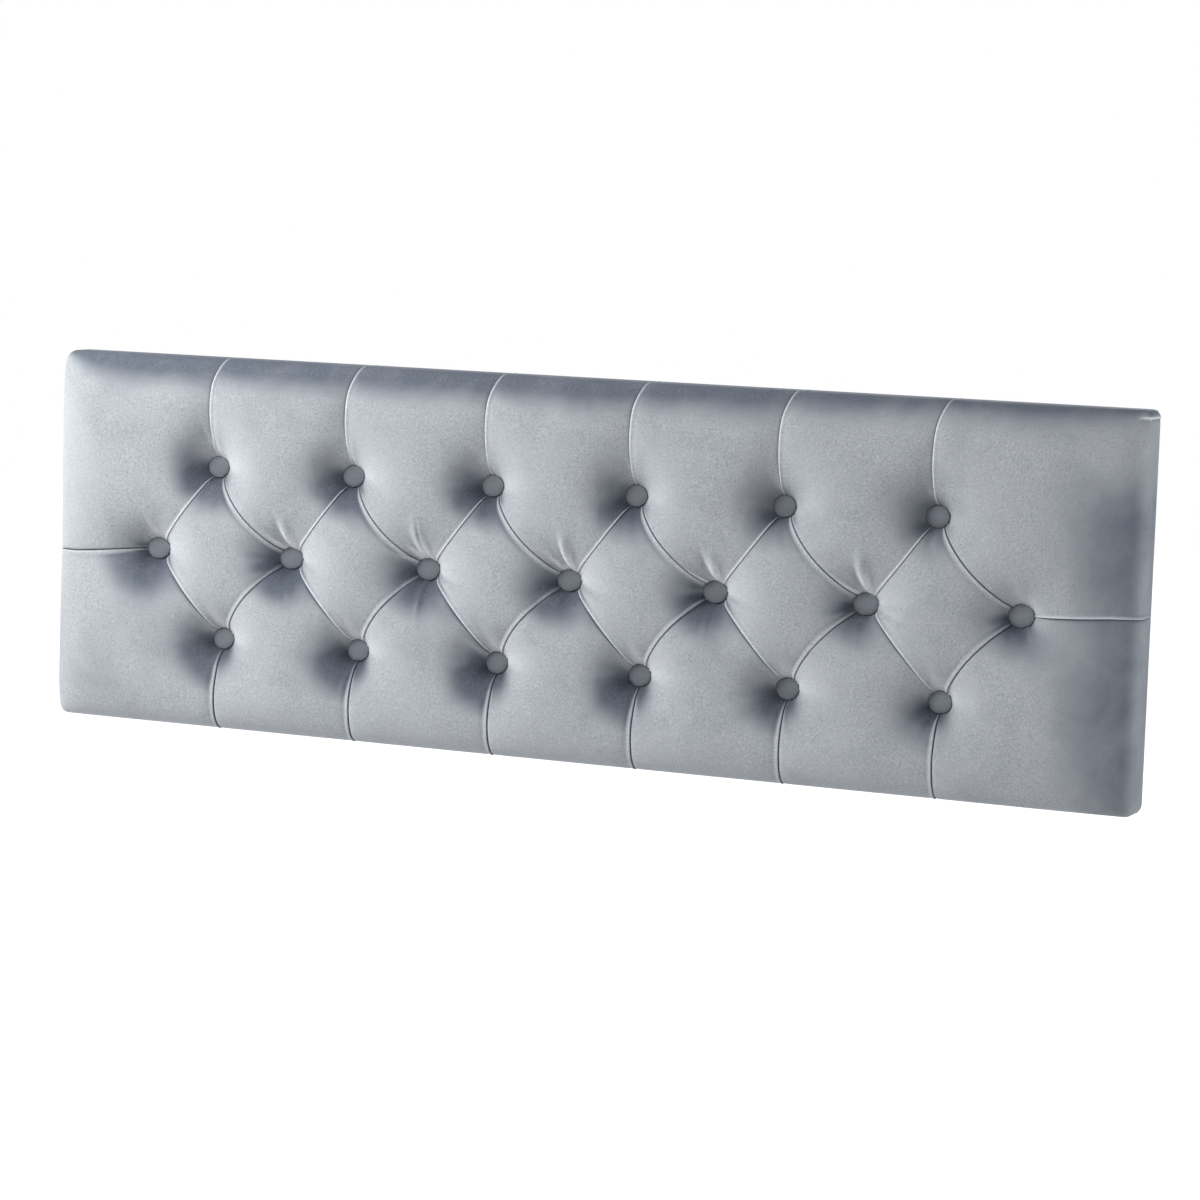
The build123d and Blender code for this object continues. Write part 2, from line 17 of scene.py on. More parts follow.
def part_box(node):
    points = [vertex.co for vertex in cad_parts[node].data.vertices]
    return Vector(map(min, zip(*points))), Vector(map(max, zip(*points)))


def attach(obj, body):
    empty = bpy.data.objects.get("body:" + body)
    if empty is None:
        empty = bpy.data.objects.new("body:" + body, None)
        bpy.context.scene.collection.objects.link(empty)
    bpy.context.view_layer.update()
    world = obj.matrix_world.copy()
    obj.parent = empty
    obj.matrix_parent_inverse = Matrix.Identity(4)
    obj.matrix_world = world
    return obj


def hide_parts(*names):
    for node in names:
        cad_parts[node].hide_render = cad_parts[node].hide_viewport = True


bl_info = {
    "name": "Deep-buttoned headboard panel",
    "version": (1, 0, 0),
    "blender": (4, 5, 0),
    "location": "View3D > Sidebar > Headboard",
    "description": "Velvet quilt, covered buttons and back of a wall-hung headboard panel",
    "category": "Object",
}

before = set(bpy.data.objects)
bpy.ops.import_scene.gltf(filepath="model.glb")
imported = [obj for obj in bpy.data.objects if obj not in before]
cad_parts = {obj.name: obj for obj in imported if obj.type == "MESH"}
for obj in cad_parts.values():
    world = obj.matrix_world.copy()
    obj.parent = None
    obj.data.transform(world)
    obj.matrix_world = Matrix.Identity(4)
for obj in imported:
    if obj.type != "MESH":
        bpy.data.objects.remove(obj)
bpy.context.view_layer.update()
MM = 0.001


def node_box(node):
    """A node's lowest and highest corners, in millimetres."""
    low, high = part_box(node)
    return np.array(low) / MM, np.array(high) / MM


# Places read from the CAD nodes

PANEL_LOW, PANEL_HIGH = node_box("velvet_cover")
MIDDLE_Z = (PANEL_LOW[2] + PANEL_HIGH[2]) / 2
HALF_X = (PANEL_HIGH[0] - PANEL_LOW[0]) / 2
HALF_Z = (PANEL_HIGH[2] - PANEL_LOW[2]) / 2
BACK = -PANEL_HIGH[1]
SEAT = -node_box("middle_row_buttons")[1][1]
ROW_COUNTS = {"top_row": 6, "middle_row": 7, "bottom_row": 6}


def row_places(row):
    """Button centres of a row in plan, spread evenly over its node's box."""
    low, high = node_box(f"{row}_buttons")
    radius = (high[2] - low[2]) / 2
    xs = np.linspace(low[0] + radius, high[0] - radius, ROW_COUNTS[row])
    return np.stack([xs, np.full_like(xs, low[2] + radius - MIDDLE_Z)], 1)


PLACES = {row: row_places(row) for row in ROW_COUNTS}
TOP, MIDDLE, BOTTOM = (PLACES[row] for row in ROW_COUNTS)
BUTTONS = np.concatenate([TOP, MIDDLE, BOTTOM])
DIAMONDS = (MIDDLE[:-1] + MIDDLE[1:]) / 2

# The velvet's seat round a button, and each row's oval as shares of the round one
SEAT_RADIUS = 14.9
OVALS = {"top_row": (1.04, 0.96), "middle_row": (1.14, 0.97), "bottom_row": (1.04, 0.96)}
SEATS = np.repeat([OVALS[row] for row in ROW_COUNTS], list(ROW_COUNTS.values()), axis=0)

# A button cover's dome, the roll of its rim, that roll's height and the dome's rise over it
DOME_RADIUS, ROLL, RIM_HEIGHT, DOME_RISE = 12.8, 2.0, 2.1, 1.5

# Plan of the pleats: the CAD model's, with the leans and bows that the cloth takes up
BORDER = 36.0
BORDER_X, BORDER_Z = HALF_X - BORDER, HALF_Z - BORDER
BOW = 0.13
TOP_LEAN, TOP_BOW, RIM_LEAN = 3.0, 3.0, 10.0
LEFT_FALL = -10.0
RIGHT_RISE = 8.0
ENDS = [(sx, peak, np.array((sx * BORDER_X, peak[1] + rise)))
        for sx, peak, rise in ((-1, MIDDLE[0], LEFT_FALL), (1, MIDDLE[-1], RIGHT_RISE))]

# The corners' radii, the depth from the seats to the side, the left end's rounding as a share of the
# right one's, and the upper edge's fold over the ends: how far down it lies, its rise and its step
CORNER_RADII = {(-1, 1): 17.5, (1, 1): 10.0, (-1, -1): 13.0, (1, -1): 13.0}
SIDE_LINE = 2.5
LEFT_END = 0.6
FOLD_DROP, FOLD_RISE, FOLD_STEP = 10.5, 1.1, 0.9

# How open the gap beside a pleat is, and the slants' gaps by side of the button and by row
CRISP, THIN, SOFT = 1.0, 0.55, 0.14
TOP_GAP, CORNER_GAP = 0.26, 0.12
SLANT_GAPS = {(True, 1): SOFT, (False, 1): CRISP, (True, -1): THIN, (False, -1): CRISP}

# Across a pleat: its ridge, the soft groove behind it, its lean, the gap on the lapping side and the
# dive on the other; along it, where it fades towards a button
RIDGE_PLACE, RIDGE_WIDTH, RIDGE_START = 1.9, 1.5, 0.9
GROOVE_PLACE, GROOVE_WIDTH = 5.8, 2.3
LEAN_PLACE, GAP_WIDTH, DIVE_WIDTH = 1.1, 0.7, 1.5
BUTTON_FADE = 9, 24

# Shares of a patch's side where its faces meet, close together beside the pleats
HALF_SHARES = np.array(
    [0, 0.0032, 0.0066, 0.0105, 0.015, 0.021, 0.029, 0.040, 0.055, 0.075, 0.10, 0.13, 0.165,
     0.205, 0.25, 0.295, 0.34, 0.385, 0.43, 0.47]
)
SHARES = np.concatenate([HALF_SHARES, [0.5], 1 - HALF_SHARES[::-1]])
EDGE_SHARES = 1 - np.linspace(1, 0, 21) ** 1.6
COARSE = np.array([0, 0.04, 0.09, 0.16, 0.27, 0.4, 0.5, 0.6, 0.73, 0.84, 0.91, 0.96, 1])

# Creases fanned over a button: degrees, curl in degrees, height and width, the CHIEF ones first.
# FAINT is their share off the middle buttons, and CURL_RADIUS where they start to curl.
FAN = ((88, 16, -3.6, 3.0), (70, 16, 5.4, 7.0), (118, 10, 2.4, 2.8), (136, 8, 1.8, 3.0),
       (10, 0, 1.6, 2.8), (-16, 0, 1.2, 2.8))
CHIEF, FAINT, CURL_RADIUS = 4, 0.25, 14

# The pad's crown, its edges' power, its dip over the top buttons, its drift, and how far under it
# the foam lies
CROWN_WIDTH, EDGE_POWER = 95, 2.2
UPRIGHT_DIP, UPRIGHT_WIDTH = 7.0, 32
DRIFT = 0.28
FOAM_BELOW = 7.0

# How far the velvet is painted into shade or highlight as a face leans right, left, up or down against
# or with its pile, the painted shade's falloff to the right, at the right end and in the lower left corner,
# how far from a button the painted shade is turned, the painted highlight reaches and the painted shade of
# the hollows reaches, and the tint of the painted shade in creases and hollows
PAINTED_RIGHT, PAINTED_LEFT, PAINTED_UP, PAINTED_DOWN = 0.55, 0.25, 0.86, 0.05
DIM_RIGHT, END_SHADE, CORNER_SHADE = 0.42, 0.24, 0.20
TURNED_SHADE_WIDTH, LIGHT_WIDTH, HOLLOW_SHADE_WIDTH = 45, 28, 33
CREASE_SHADE_TINT = (0.16, 0.17, 0.20, 1)

# Back of the panel: tacks, the dust cloth's puff between them and its slack, and how far the panel
# is lifted off its rails
TACK_INSET, DUST_INSET, TACK_SPACING = 20.0, 12.0, 120.0
PUFF, PUFF_REACH, SLACK = 1.6, 45, 0.25
LIFT = 15.0


# Settings

def length_setting(name, description, default):
    """A length, in metres."""
    return FloatProperty(name=name, description=description, default=default, unit="LENGTH")


def colour_setting(name, description, default):
    """A colour."""
    return FloatVectorProperty(name=name, description=description, default=default, subtype="COLOR", size=3)


class QuiltSettings(PropertyGroup):
    """Sizes of the quilt's forms."""

    swell_edge: length_setting(
        "Edge swell", "Height of the quilt over the button seats near the edge", 0.0405)
    swell_middle: length_setting("Middle swell", "Further height in the panel's middle", 0.0100)
    dimple_width: length_setting("Dimple width", "How far a button's dimple spreads", 0.027)
    dimple_power: FloatProperty(
        name="Dimple steepness", description="Below one, the dimple's wall stands steeper by the button",
        default=0.92)
    valley_depth: length_setting("Valley depth", "How deep the pleats lie between the pillows", 0.0058)
    valley_width: length_setting("Valley width", "How far a pleat's valley spreads to each side", 0.022)
    lip_height: length_setting("Lip height", "Height of the folded lip along a pleat", 0.0012)
    gap_depth: length_setting("Gap depth", "Depth of the gap under a folded lip", 0.0042)
    lip_overhang: length_setting("Lip overhang", "How far the folded lip laps over the gap", 0.0022)
    rounding: length_setting(
        "Edge rounding", "How far in from the long edges the front starts to turn over", 0.063)
    end_rounding: length_setting(
        "End rounding", "How far in from the two ends the front starts to turn over", 0.135)


class VelvetSettings(PropertyGroup):
    """Colours of the velvet, with painted lit and shaded copies."""

    # Light and shade are copies of the velvet's colour, lit and darkened: painted highlight and painted shade
    light: colour_setting(
        "Velvet painted lit", "Painted highlight of velvet leaning the way its pile lies", (0.590, 0.612, 0.632))
    colour: colour_setting("Velvet", "Velvet seen square on", (0.411, 0.433, 0.457))
    shade: colour_setting("Velvet painted in shade", "Painted shade of velvet leaning against its pile", (0.135, 0.153, 0.188))
    # Darker than the cover's velvet: painted shade of the wells that the buttons sit in
    button: colour_setting("Button velvet in painted shade", "Velvet stretched over a button", (0.182, 0.195, 0.218))
    sheen: FloatProperty(
        name="Sheen", description="Strength of the pile's sheen", default=0.30, min=0, max=1,
        subtype="FACTOR")


class StageSettings(PropertyGroup):
    """Lights, floor and camera."""

    key_power: FloatProperty(
        name="Key power", description="Power of the soft light on the left", default=93.0, unit="POWER")
    end_power: FloatProperty(
        name="End power", description="Power of the weak light beside the right-hand end",
        default=22.0, unit="POWER")
    sky: FloatProperty(
        name="Sky strength", description="Strength of the even light from all round", default=0.28)
    floor_gap: length_setting("Hanging height", "From the floor up to the panel's lower edge", 0.55)


# Numbers on arrays

def smooth(low, high, value):
    """0 below low, 1 above high, and 3t^2 - 2t^3 of the way t between them."""
    t = np.clip((value - low) / (high - low), 0, 1)
    return t * t * (3 - 2 * t)


def bell(distance, width):
    """exp(-(distance / width)^2)."""
    return np.exp(-((distance / width) ** 2))


def unit(vectors):
    """Vectors divided by their length."""
    return vectors / np.maximum(np.linalg.norm(vectors, axis=-1, keepdims=True), 1e-9)


def bernstein(shares):
    """The four cubic weights (1-t)^3, 3t(1-t)^2, 3t^2(1-t) and t^3 of each share t."""
    t = np.asarray(shares)[:, None]
    rest = 1 - t
    return np.concatenate([rest**3, 3 * t * rest**2, 3 * t**2 * rest, t**3], 1)


def line(a, b, towards=None):
    """Plan control points of a seam, whose two handles may be drawn towards a point."""
    shares = np.linspace(0, 1, 4)[:, None]
    points = np.asarray(a) + (np.asarray(b) - a) * shares
    if towards is not None:
        points[1:3] += (towards - points[1:3]) * BOW
    return points


def coons(start, end, near, far, shares=np.linspace(0, 1, 4)):
    """A plan net from its four edges' points at these shares: the two ruled nets less the bilinear one."""
    i, j = shares[:, None, None], shares[None, :, None]
    ruled = (1 - i) * start[None] + i * end[None] + (1 - j) * near[:, None] + j * far[:, None]
    corners = (1 - i) * ((1 - j) * start[0] + j * start[-1]) + i * ((1 - j) * end[0] + j * end[-1])
    return ruled - corners


def spread(net, across, along):
    """Points of a bicubic net at these shares of its two parameters."""
    return np.einsum("ui,ijc,vj->uvc", bernstein(across), net, bernstein(along))


# The quilt's base form

def upright(button, side):
    """Control points of the pleat from a button's row up (side 1) or down (side -1) to the border."""
    lean, bow = (TOP_LEAN, TOP_BOW) if side > 0 else (0, 0)
    points = line((button[0] + lean, side * BORDER_Z), button)
    points[1:3, 0] -= bow
    return points


def pleat_curves():
    """Every pleat's control points in plan: slants, uprights and the two side pleats."""
    curves = []
    for i, heart in enumerate(DIAMONDS):
        for end in (TOP[i], BOTTOM[i]):
            curves += [line(end, MIDDLE[i], heart), line(end, MIDDLE[i + 1], heart)]
    for row, out, sz in ((TOP, RIM_LEAN, 1), (BOTTOM, 0, -1)):
        inner = [upright(button, sz) for button in row]
        curves += inner + [line(curve[0], (curve[0, 0] + out, sz * HALF_Z)) for curve in inner]
    for sx, peak, notch in ENDS:
        curves += [line(notch, peak), line(notch, (sx * HALF_X, notch[1]))]
    return np.array(curves)


def pleat_distance(plan):
    """Least distance in plan to any pleat, each taken as 24 short straight runs."""
    points = np.einsum("ti,kic->ktc", bernstein(np.linspace(0, 1, 25)), pleat_curves())
    starts, runs = points[:, :-1].reshape(-1, 2), np.diff(points, axis=1).reshape(-1, 2)
    lengths = (runs**2).sum(1)
    nearest = np.full(len(plan), np.inf)
    for start, run, length in zip(starts, runs, lengths):
        offset = plan - start
        share = np.clip(offset @ run / length, 0, 1)[:, None]
        np.minimum(nearest, ((offset - share * run) ** 2).sum(1), out=nearest)
    return np.sqrt(nearest)


def wrinkles(plan, chief=False):
    """Short folds fanned over the middle buttons, and fainter ones beside every button.

    Each is a ridge, or a groove, exp(-(distance from its ray / width)^2) that fades at two radii,
    and its ray turns by curl (1 - exp(1 - r/CURL_RADIUS)) on its way out. Points behind the
    button count as far aside. The chief ones are those over the middle buttons."""
    rng = np.random.default_rng(7)
    height = np.zeros(len(plan))
    for k, (x, z) in enumerate(BUTTONS):
        dx, dz = plan[:, 0] - x, plan[:, 1] - z
        radius, angle = np.hypot(dx, dz), np.arctan2(dz, dx)
        inner = len(TOP) < k < len(TOP) + len(MIDDLE) - 1
        share = 1 if inner else FAINT
        fan = [(a + rng.normal(0, 6), curl, share * size * rng.uniform(0.6, 1.1), width, rng.uniform(54, 84))
               for a, curl, size, width in FAN]
        fan += [(rng.uniform(0, 360), 0, rng.uniform(0.2, 0.6), 3.2, rng.uniform(34, 52)) for _ in range(6)]
        fan += [(rng.uniform(170, 290), 0, rng.uniform(0.6, 1.2), rng.uniform(2.8, 5.0),
                 rng.uniform(44, 70)) for _ in range(4)]
        if chief:
            fan = fan[:CHIEF] if inner else []
        for degrees, curl, size, width, reach in fan:
            out = np.maximum(radius - CURL_RADIUS, 0) / CURL_RADIUS
            ray = np.radians(degrees + curl * (1 - np.exp(-out)))
            turn = np.angle(np.exp(1j * (angle - ray)))
            aside = radius * np.where(np.abs(turn) < math.pi / 2, np.sin(turn), 99)
            window = smooth(12, 17, radius) * (1 - smooth(reach * 0.5, reach, radius))
            height += size * bell(aside, width) * window
    return height


def unevenness(plan):
    """A slow drift of the stuffing: five long sine waves across the plan, each DRIFT high."""
    rng = np.random.default_rng(11)
    height = np.zeros(len(plan))
    for _ in range(5):
        angle, wave, phase = rng.uniform(0, np.pi), rng.uniform(90, 260), rng.uniform(0, 2 * np.pi)
        along = plan[:, 0] * math.cos(angle) + plan[:, 1] * math.sin(angle)
        height += DRIFT * np.sin(2 * np.pi * along / wave + phase)
    return height


def swell(plan, quilt):
    """Height over the button seats: a crowned pad times one dimple per button, less the valleys.

    The pad is swell_edge + swell_middle times 1 - exp(-(d/CROWN_WIDTH)^2) for the distance d from
    each pair of edges, less UPRIGHT_DIP exp(-(x/UPRIGHT_WIDTH)^2) above each top button. A dimple
    is 1 - exp(-((r - SEAT_RADIUS)/width)^power) with r measured on the seat's oval, and a valley is
    exp(-s/width)."""
    inward = np.array((HALF_X, HALF_Z)) - np.abs(plan)
    crown = np.prod(1 - bell(np.maximum(inward, 0), CROWN_WIDTH), axis=1)
    pad = (quilt.swell_edge + quilt.swell_middle * crown) / MM
    dimples = np.ones(len(plan))
    for place, oval in zip(BUTTONS, SEATS):
        radius = np.linalg.norm((plan - place) / oval, axis=1)
        reach = np.maximum(radius - SEAT_RADIUS, 0) * MM / quilt.dimple_width
        dimples *= 1 - np.exp(-(reach**quilt.dimple_power))
    for x, z in TOP:
        over = smooth(120, 10, plan[:, 1] - z) * smooth(-15, 12, plan[:, 1] - z)
        pad = pad - UPRIGHT_DIP * bell(plan[:, 0] - x, UPRIGHT_WIDTH) * over
    valley = np.exp(-pleat_distance(plan) * MM / quilt.valley_width) * quilt.valley_depth / MM
    lift = wrinkles(plan) + unevenness(plan) * dimples
    return pad * dimples - valley * smooth(0.15, 0.75, dimples) + lift


def turn_over(plan, quilt):
    """Share of the front's height at a plan point: a superellipse of EDGE_POWER in from each edge.

    The left end turns over within LEFT_END of the right end's rounding."""
    inside = np.stack([HALF_X - np.abs(plan[..., 0]), HALF_Z - np.abs(plan[..., 1])], -1) * MM
    end = quilt.end_rounding * np.where(plan[..., 0] < 0, LEFT_END, 1)
    reach = np.clip(1 - inside / np.stack([end, np.full_like(end, quilt.rounding)], -1), 0, 1)
    return np.prod((1 - reach**EDGE_POWER) ** (1 / EDGE_POWER), axis=-1)


class Grid:
    """One sheet of faces: its plan, its share of the full height, and what each side is to a pleat.

    A side is named by its parameter's end, such as u0, and holds whether it laps over, the gap's
    openness, and how near to its two ends the pleat fades."""

    def __init__(self, plan, share=None, sides=None):
        self.plan, self.share, self.sides = plan, share, sides or {}


def front_grids(quilt, shares, edge_shares):
    """The patches between the pleats, the rounded edge round them, and the rim's stretches."""
    grids, stretches = [], []

    def inner(net, sides):
        plan = spread(net, shares, shares)
        grids.append(Grid(plan, turn_over(plan, quilt), sides))

    corners = {(sx, sz): np.array((sx * BORDER_X, sz * BORDER_Z)) for sx in (-1, 1) for sz in (-1, 1)}
    for row, sz in ((TOP, 1), (BOTTOM, -1)):
        uprights = [upright(button, sz) for button in row]
        notches = [curve[0] for curve in uprights]
        between = [(a + b) / 2 for a, b in zip(notches, notches[1:])]
        crests = [corners[-1, sz], *between, corners[1, sz]]
        for i, button in enumerate(row):
            for k in (i, i + 1):
                peak, crest, left = MIDDLE[k], crests[k], k == i
                slant = line(button, peak, DIAMONDS[i])
                net = coons(uprights[i], line(crest, peak), line(notches[i], crest), slant)
                upright_lap = (left == (sz < 0), TOP_GAP if sz > 0 else CRISP)
                slant_lap = (left and sz > 0, SLANT_GAPS[left, sz], 1, 1)
                inner(net, {"u0": (*upright_lap, 0, 1), "v1": slant_lap})
                stretches.append((notches[i], crest, (0, sz), upright_lap))
    for i, heart in enumerate(DIAMONDS):
        up, right, down, left = TOP[i], MIDDLE[i + 1], BOTTOM[i], MIDDLE[i]
        net = coons(line(up, left, heart), line(right, down, heart), line(up, right, heart),
                    line(left, down, heart))
        inner(net, {"u0": (False, SOFT, 1, 1), "u1": (True, CRISP, 1, 1), "v0": (True, CRISP, 1, 1),
                    "v1": (True, THIN, 1, 1)})
    for sx, peak, notch in ENDS:
        for sz in (-1, 1):
            corner = corners[sx, sz]
            side = (notch + corner) / 2
            net = coons(line(side, notch), line(corner, peak), line(side, corner), line(notch, peak))
            lap = (sx == sz, CRISP if sx < 0 else THIN)
            inner(net, {"v1": (*lap, 0, 1)})
            stretches += [(notch, side, (sx, 0), lap), (corner, side, (sx, 0), None)]

    rims = []
    for start, end, out, lap in stretches:
        run = start + (end - start) * shares[:, None]
        plan = run[:, None] + np.array(out) * BORDER * edge_shares[:, None]
        if out == (0, 1):
            plan[..., 0] += RIM_LEAN * (1 - shares)[:, None] * edge_shares**1.4
        sides = {"u0": (*lap, 0, 0)} if lap else {}
        grids.append(Grid(plan, turn_over(plan, quilt), sides))
        rims.append(Grid(plan[:, -1], None, sides))
    for (sx, sz), corner in corners.items():
        plan = corner + rounded_square(edge_shares, CORNER_RADII[sx, sz]) * BORDER * (sx, sz)
        square = np.stack(np.meshgrid(edge_shares, edge_shares, indexing="ij"), -1)
        grids.append(Grid(plan, turn_over(corner + square * BORDER * (sx, sz), quilt)))
        rims += [Grid(edge, None, {"u1": (laps, CORNER_GAP, 0, 0)})
                 for edge, laps in ((plan[-1], False), (plan[:, -1], True))]
    return grids, rims


def rounded_square(shares, radius):
    """A unit square whose far corner is rounded, as a Coons patch between its straight and arced edges."""
    rho = radius / BORDER
    straight, bend = 1 - rho, 0.7 - 0.4 * (rho - 0.4)
    run = np.minimum(shares / bend, 1) * straight
    turn = np.clip((shares - bend) / (1 - bend), 0, 1) * math.pi / 4
    far = np.stack([straight + rho * np.cos(turn), run + rho * np.sin(turn)], 1)
    near = np.stack([np.zeros_like(shares), shares], 1)
    return coons(near, far, near[:, ::-1], far[:, ::-1], shares)


def skirt(rim, rows):
    """The side and turned-over back from a stretch of the rim: rows are (inset, depth) pairs.

    A row's plan is the rim scaled so that the panel's half sizes shrink by the inset."""
    inset, depth = np.array(rows).T
    scale = np.stack([(HALF_X - inset) / HALF_X, (HALF_Z - inset) / HALF_Z], 1)
    plan = rim[:, None] * scale[None]
    return np.stack([plan[..., 0], np.broadcast_to(-depth, plan.shape[:2]), plan[..., 1]], -1)


# Pleats: the folded lips and the gaps beside them

def ridge_shape(distance):
    """The folded ridge's rise: a bell about RIDGE_PLACE, let down to nothing at the crease."""
    return bell(distance - RIDGE_PLACE, RIDGE_WIDTH) * smooth(0, RIDGE_START, distance)


def lap_lift(distance, laps, gap, quilt):
    """Rise beside a crease: the side that laps over has a ridge and a soft groove, the other dives."""
    depth = quilt.gap_depth / MM * gap
    if not laps:
        return -depth * np.exp(-distance / DIVE_WIDTH)
    ridge = quilt.lip_height / MM * ridge_shape(distance)
    groove = -(0.10 + 0.35 * gap) * bell(distance - GROOVE_PLACE, GROOVE_WIDTH)
    return ridge + groove - depth * bell(distance, GAP_WIDTH)


def lap_lean(distance, gap, quilt):
    """How far the lapping side leans out over the gap: A t exp(1 - t), t = distance / LEAN_PLACE."""
    t = distance / LEAN_PLACE
    return quilt.lip_overhang / MM * (0.4 + 0.6 * gap) * t * np.exp(1 - t)


def pleat_moves(base, grid, quilt, tail):
    """Lift along the normal, shift across the pleats, and where the ridge's painted highlight lies, for each
    point of a grid.
    """
    lift, shift, ridge = np.zeros(base.shape[:2]), np.zeros(base.shape), np.zeros(base.shape[:2])
    for side, (laps, gap, *ends) in grid.sides.items():
        turned, reverse = side[0] == "v", side[1] == "1"
        points = base.swapaxes(0, 1) if turned else base
        if reverse:
            points = points[::-1]
        steps = np.diff(points, axis=0)
        away = np.concatenate([np.zeros((1, points.shape[1])), np.linalg.norm(steps, axis=-1).cumsum(0)])
        along = np.linalg.norm(np.diff(points, axis=1), axis=-1).cumsum(1)
        along = np.concatenate([np.zeros((len(points), 1)), along], 1)
        fade = np.ones_like(away) if turned else np.ones_like(away) * tail
        for end, distance in zip(ends, (along, along[:, -1:] - along)):
            if end:
                fade = fade * smooth(*BUTTON_FADE, distance)
        rise = lap_lift(away, laps, gap, quilt) * fade
        outward = -unit(np.concatenate([steps, steps[-1:]]))
        lean = (lap_lean(away, gap, quilt) * fade)[..., None] * outward * laps
        # Where the ridge's painted highlight lies
        highlight_mask = ridge_shape(away) * fade * laps * (1.1 - 0.65 * gap)
        moves = [a[::-1] if reverse else a for a in (rise, lean, highlight_mask)]
        rise, lean, highlight_mask = [a.swapaxes(0, 1) if turned else a for a in moves]
        lift, shift, ridge = lift + rise, shift + lean, np.maximum(ridge, highlight_mask)
    return lift, shift, ridge


def corner_fold(base):
    """The cloth of the top edge lapped over both ends, and over the front beside the right one.

    With d down from the fold, it is FOLD_RISE exp(-(d/3)^2) over it and -FOLD_STEP exp(-d/2) under it."""
    down = HALF_Z - FOLD_DROP - np.abs(base[..., 2])
    step = np.where(down < 0, FOLD_RISE * bell(down, 3), -FOLD_STEP * np.exp(-np.maximum(down, 0) / 2))
    at_end = np.maximum(smooth(0.5, 0.0, HALF_X - np.abs(base[..., 0])), smooth(17, 7, HALF_X - base[..., 0]))
    return step * at_end * (base[..., 2] > 0)


# Meshes

def grid_faces(rows, columns, start, flipped):
    """Quads of a grid whose points are numbered row by row from start."""
    index = np.arange(rows * columns).reshape(rows, columns) + start
    a, b, c, d = index[:-1, :-1], index[1:, :-1], index[1:, 1:], index[:-1, 1:]
    order = (d, c, b, a) if flipped else (a, b, c, d)
    return np.stack([corner.ravel() for corner in order], 1)


def faces_forward(base):
    """Whether a grid's quads, in their first order, face away from a point well inside the panel."""
    is_side = base.shape[1] in (2, len(SIDE_ROWS))
    row, column = base.shape[0] // 2, 0 if is_side else base.shape[1] // 2
    corner = base[row, column]
    normal = np.cross(base[row + 1, column] - corner, base[row, column + 1] - corner)
    inside = np.clip(corner, (-BORDER_X, -SEAT, -BORDER_Z), (BORDER_X, -SEAT, BORDER_Z))
    return normal @ (corner - inside) > 0


def welded(grids):
    """One list of points and quads from many grids, with points at the same place made one."""
    points = np.concatenate([g.reshape(-1, 3) for g in grids])
    faces, start = [], 0
    for base in grids:
        faces.append(grid_faces(*base.shape[:2], start, not faces_forward(base)))
        start += base.shape[0] * base.shape[1]
    keys = np.floor(points / 0.002 + 0.317).astype(np.int64)
    _, first, index = np.unique(keys, axis=0, return_index=True, return_inverse=True)
    quads = index.reshape(-1)[np.concatenate(faces)]
    solid = (quads[:, 0] != quads[:, 2]) & (quads[:, 1] != quads[:, 3])
    return points[first], quads[solid], first


def point_normals(points, quads):
    """Area-weighted normals of points: the sum of their quads' diagonal cross products."""
    a, b, c, d = (points[quads[:, n]] for n in range(4))
    normals = np.cross(c - a, d - b)
    total = np.zeros_like(points)
    for n in range(4):
        np.add.at(total, quads[:, n], normals)
    return unit(total)


def placed(name, data):
    """A new object in the scene, at the origin."""
    made = bpy.data.objects.new(name, data)
    bpy.context.scene.collection.objects.link(made)
    return made


def mesh_object(name, points, faces, body, materials, replaces):
    """A mesh in metres at the origin, riding on a body, with its materials, hiding the CAD parts it replaces.
    """
    mesh = bpy.data.meshes.new(name)
    mesh.from_pydata((points * MM).tolist(), [], [list(f) for f in faces])
    mesh.polygons.foreach_set("use_smooth", np.full(len(mesh.polygons), True))
    for material in materials:
        mesh.materials.append(material)
    mesh.update()
    made = placed(name, mesh)
    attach(made, body)
    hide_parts(*replaces)
    return made


def painted_light_lean(normals):
    """How far each normal leans against the pile, brushed down and to the left: the lean that sets
    painted shade on faces that lean right or up, and painted highlight on faces that lean left or down.
    """
    across = normals[:, 0] * np.where(normals[:, 0] > 0, PAINTED_RIGHT, PAINTED_LEFT)
    return across + normals[:, 2] * np.where(normals[:, 2] > 0, PAINTED_UP, PAINTED_DOWN)


def store(made, name, values):
    """A float attribute on an object's points, for its material to read."""
    attribute = made.data.attributes.new(name, "FLOAT", "POINT")
    attribute.data.foreach_set("value", np.asarray(values, np.float32))


# The side and the turned-over back: (inset, depth) rows, and how pleats fade along them
SIDE_ROWS = [
    (0, SEAT + SIDE_LINE), (0, 33), (0, 28), (0, 22), (0, 16), (0, 9.2), (0.25, 7.4), (0.9, 6.1), (2.0, 5.6),
    (3.6, BACK), (12, BACK), (24, BACK), (40, BACK), (58, BACK), (59, BACK + 0.5), (58, BACK + 1.1),
]
EDGE_TAIL = 1.0, 0.5
TAIL_ROWS, SIDE_TAIL, CORNER_TAIL = (0, 3, 9, 10), (0.5, 0.3, 0.15, 0.0), (0.0, 0.0, 0.8, 0.0)


def base_form(grids, quilt):
    """Each grid's points in space: its plan, at the seat's depth plus its share of the swell."""
    plans = np.concatenate([g.plan.reshape(-1, 2) for g in grids])
    heights = np.split(swell(plans, quilt), np.cumsum([g.share.size for g in grids])[:-1])
    made = []
    for g, height in zip(grids, heights):
        depth = SEAT + SIDE_LINE + (height.reshape(g.share.shape) - SIDE_LINE) * g.share
        made.append(np.stack([g.plan[..., 0], -depth, g.plan[..., 1]], -1))
    return made


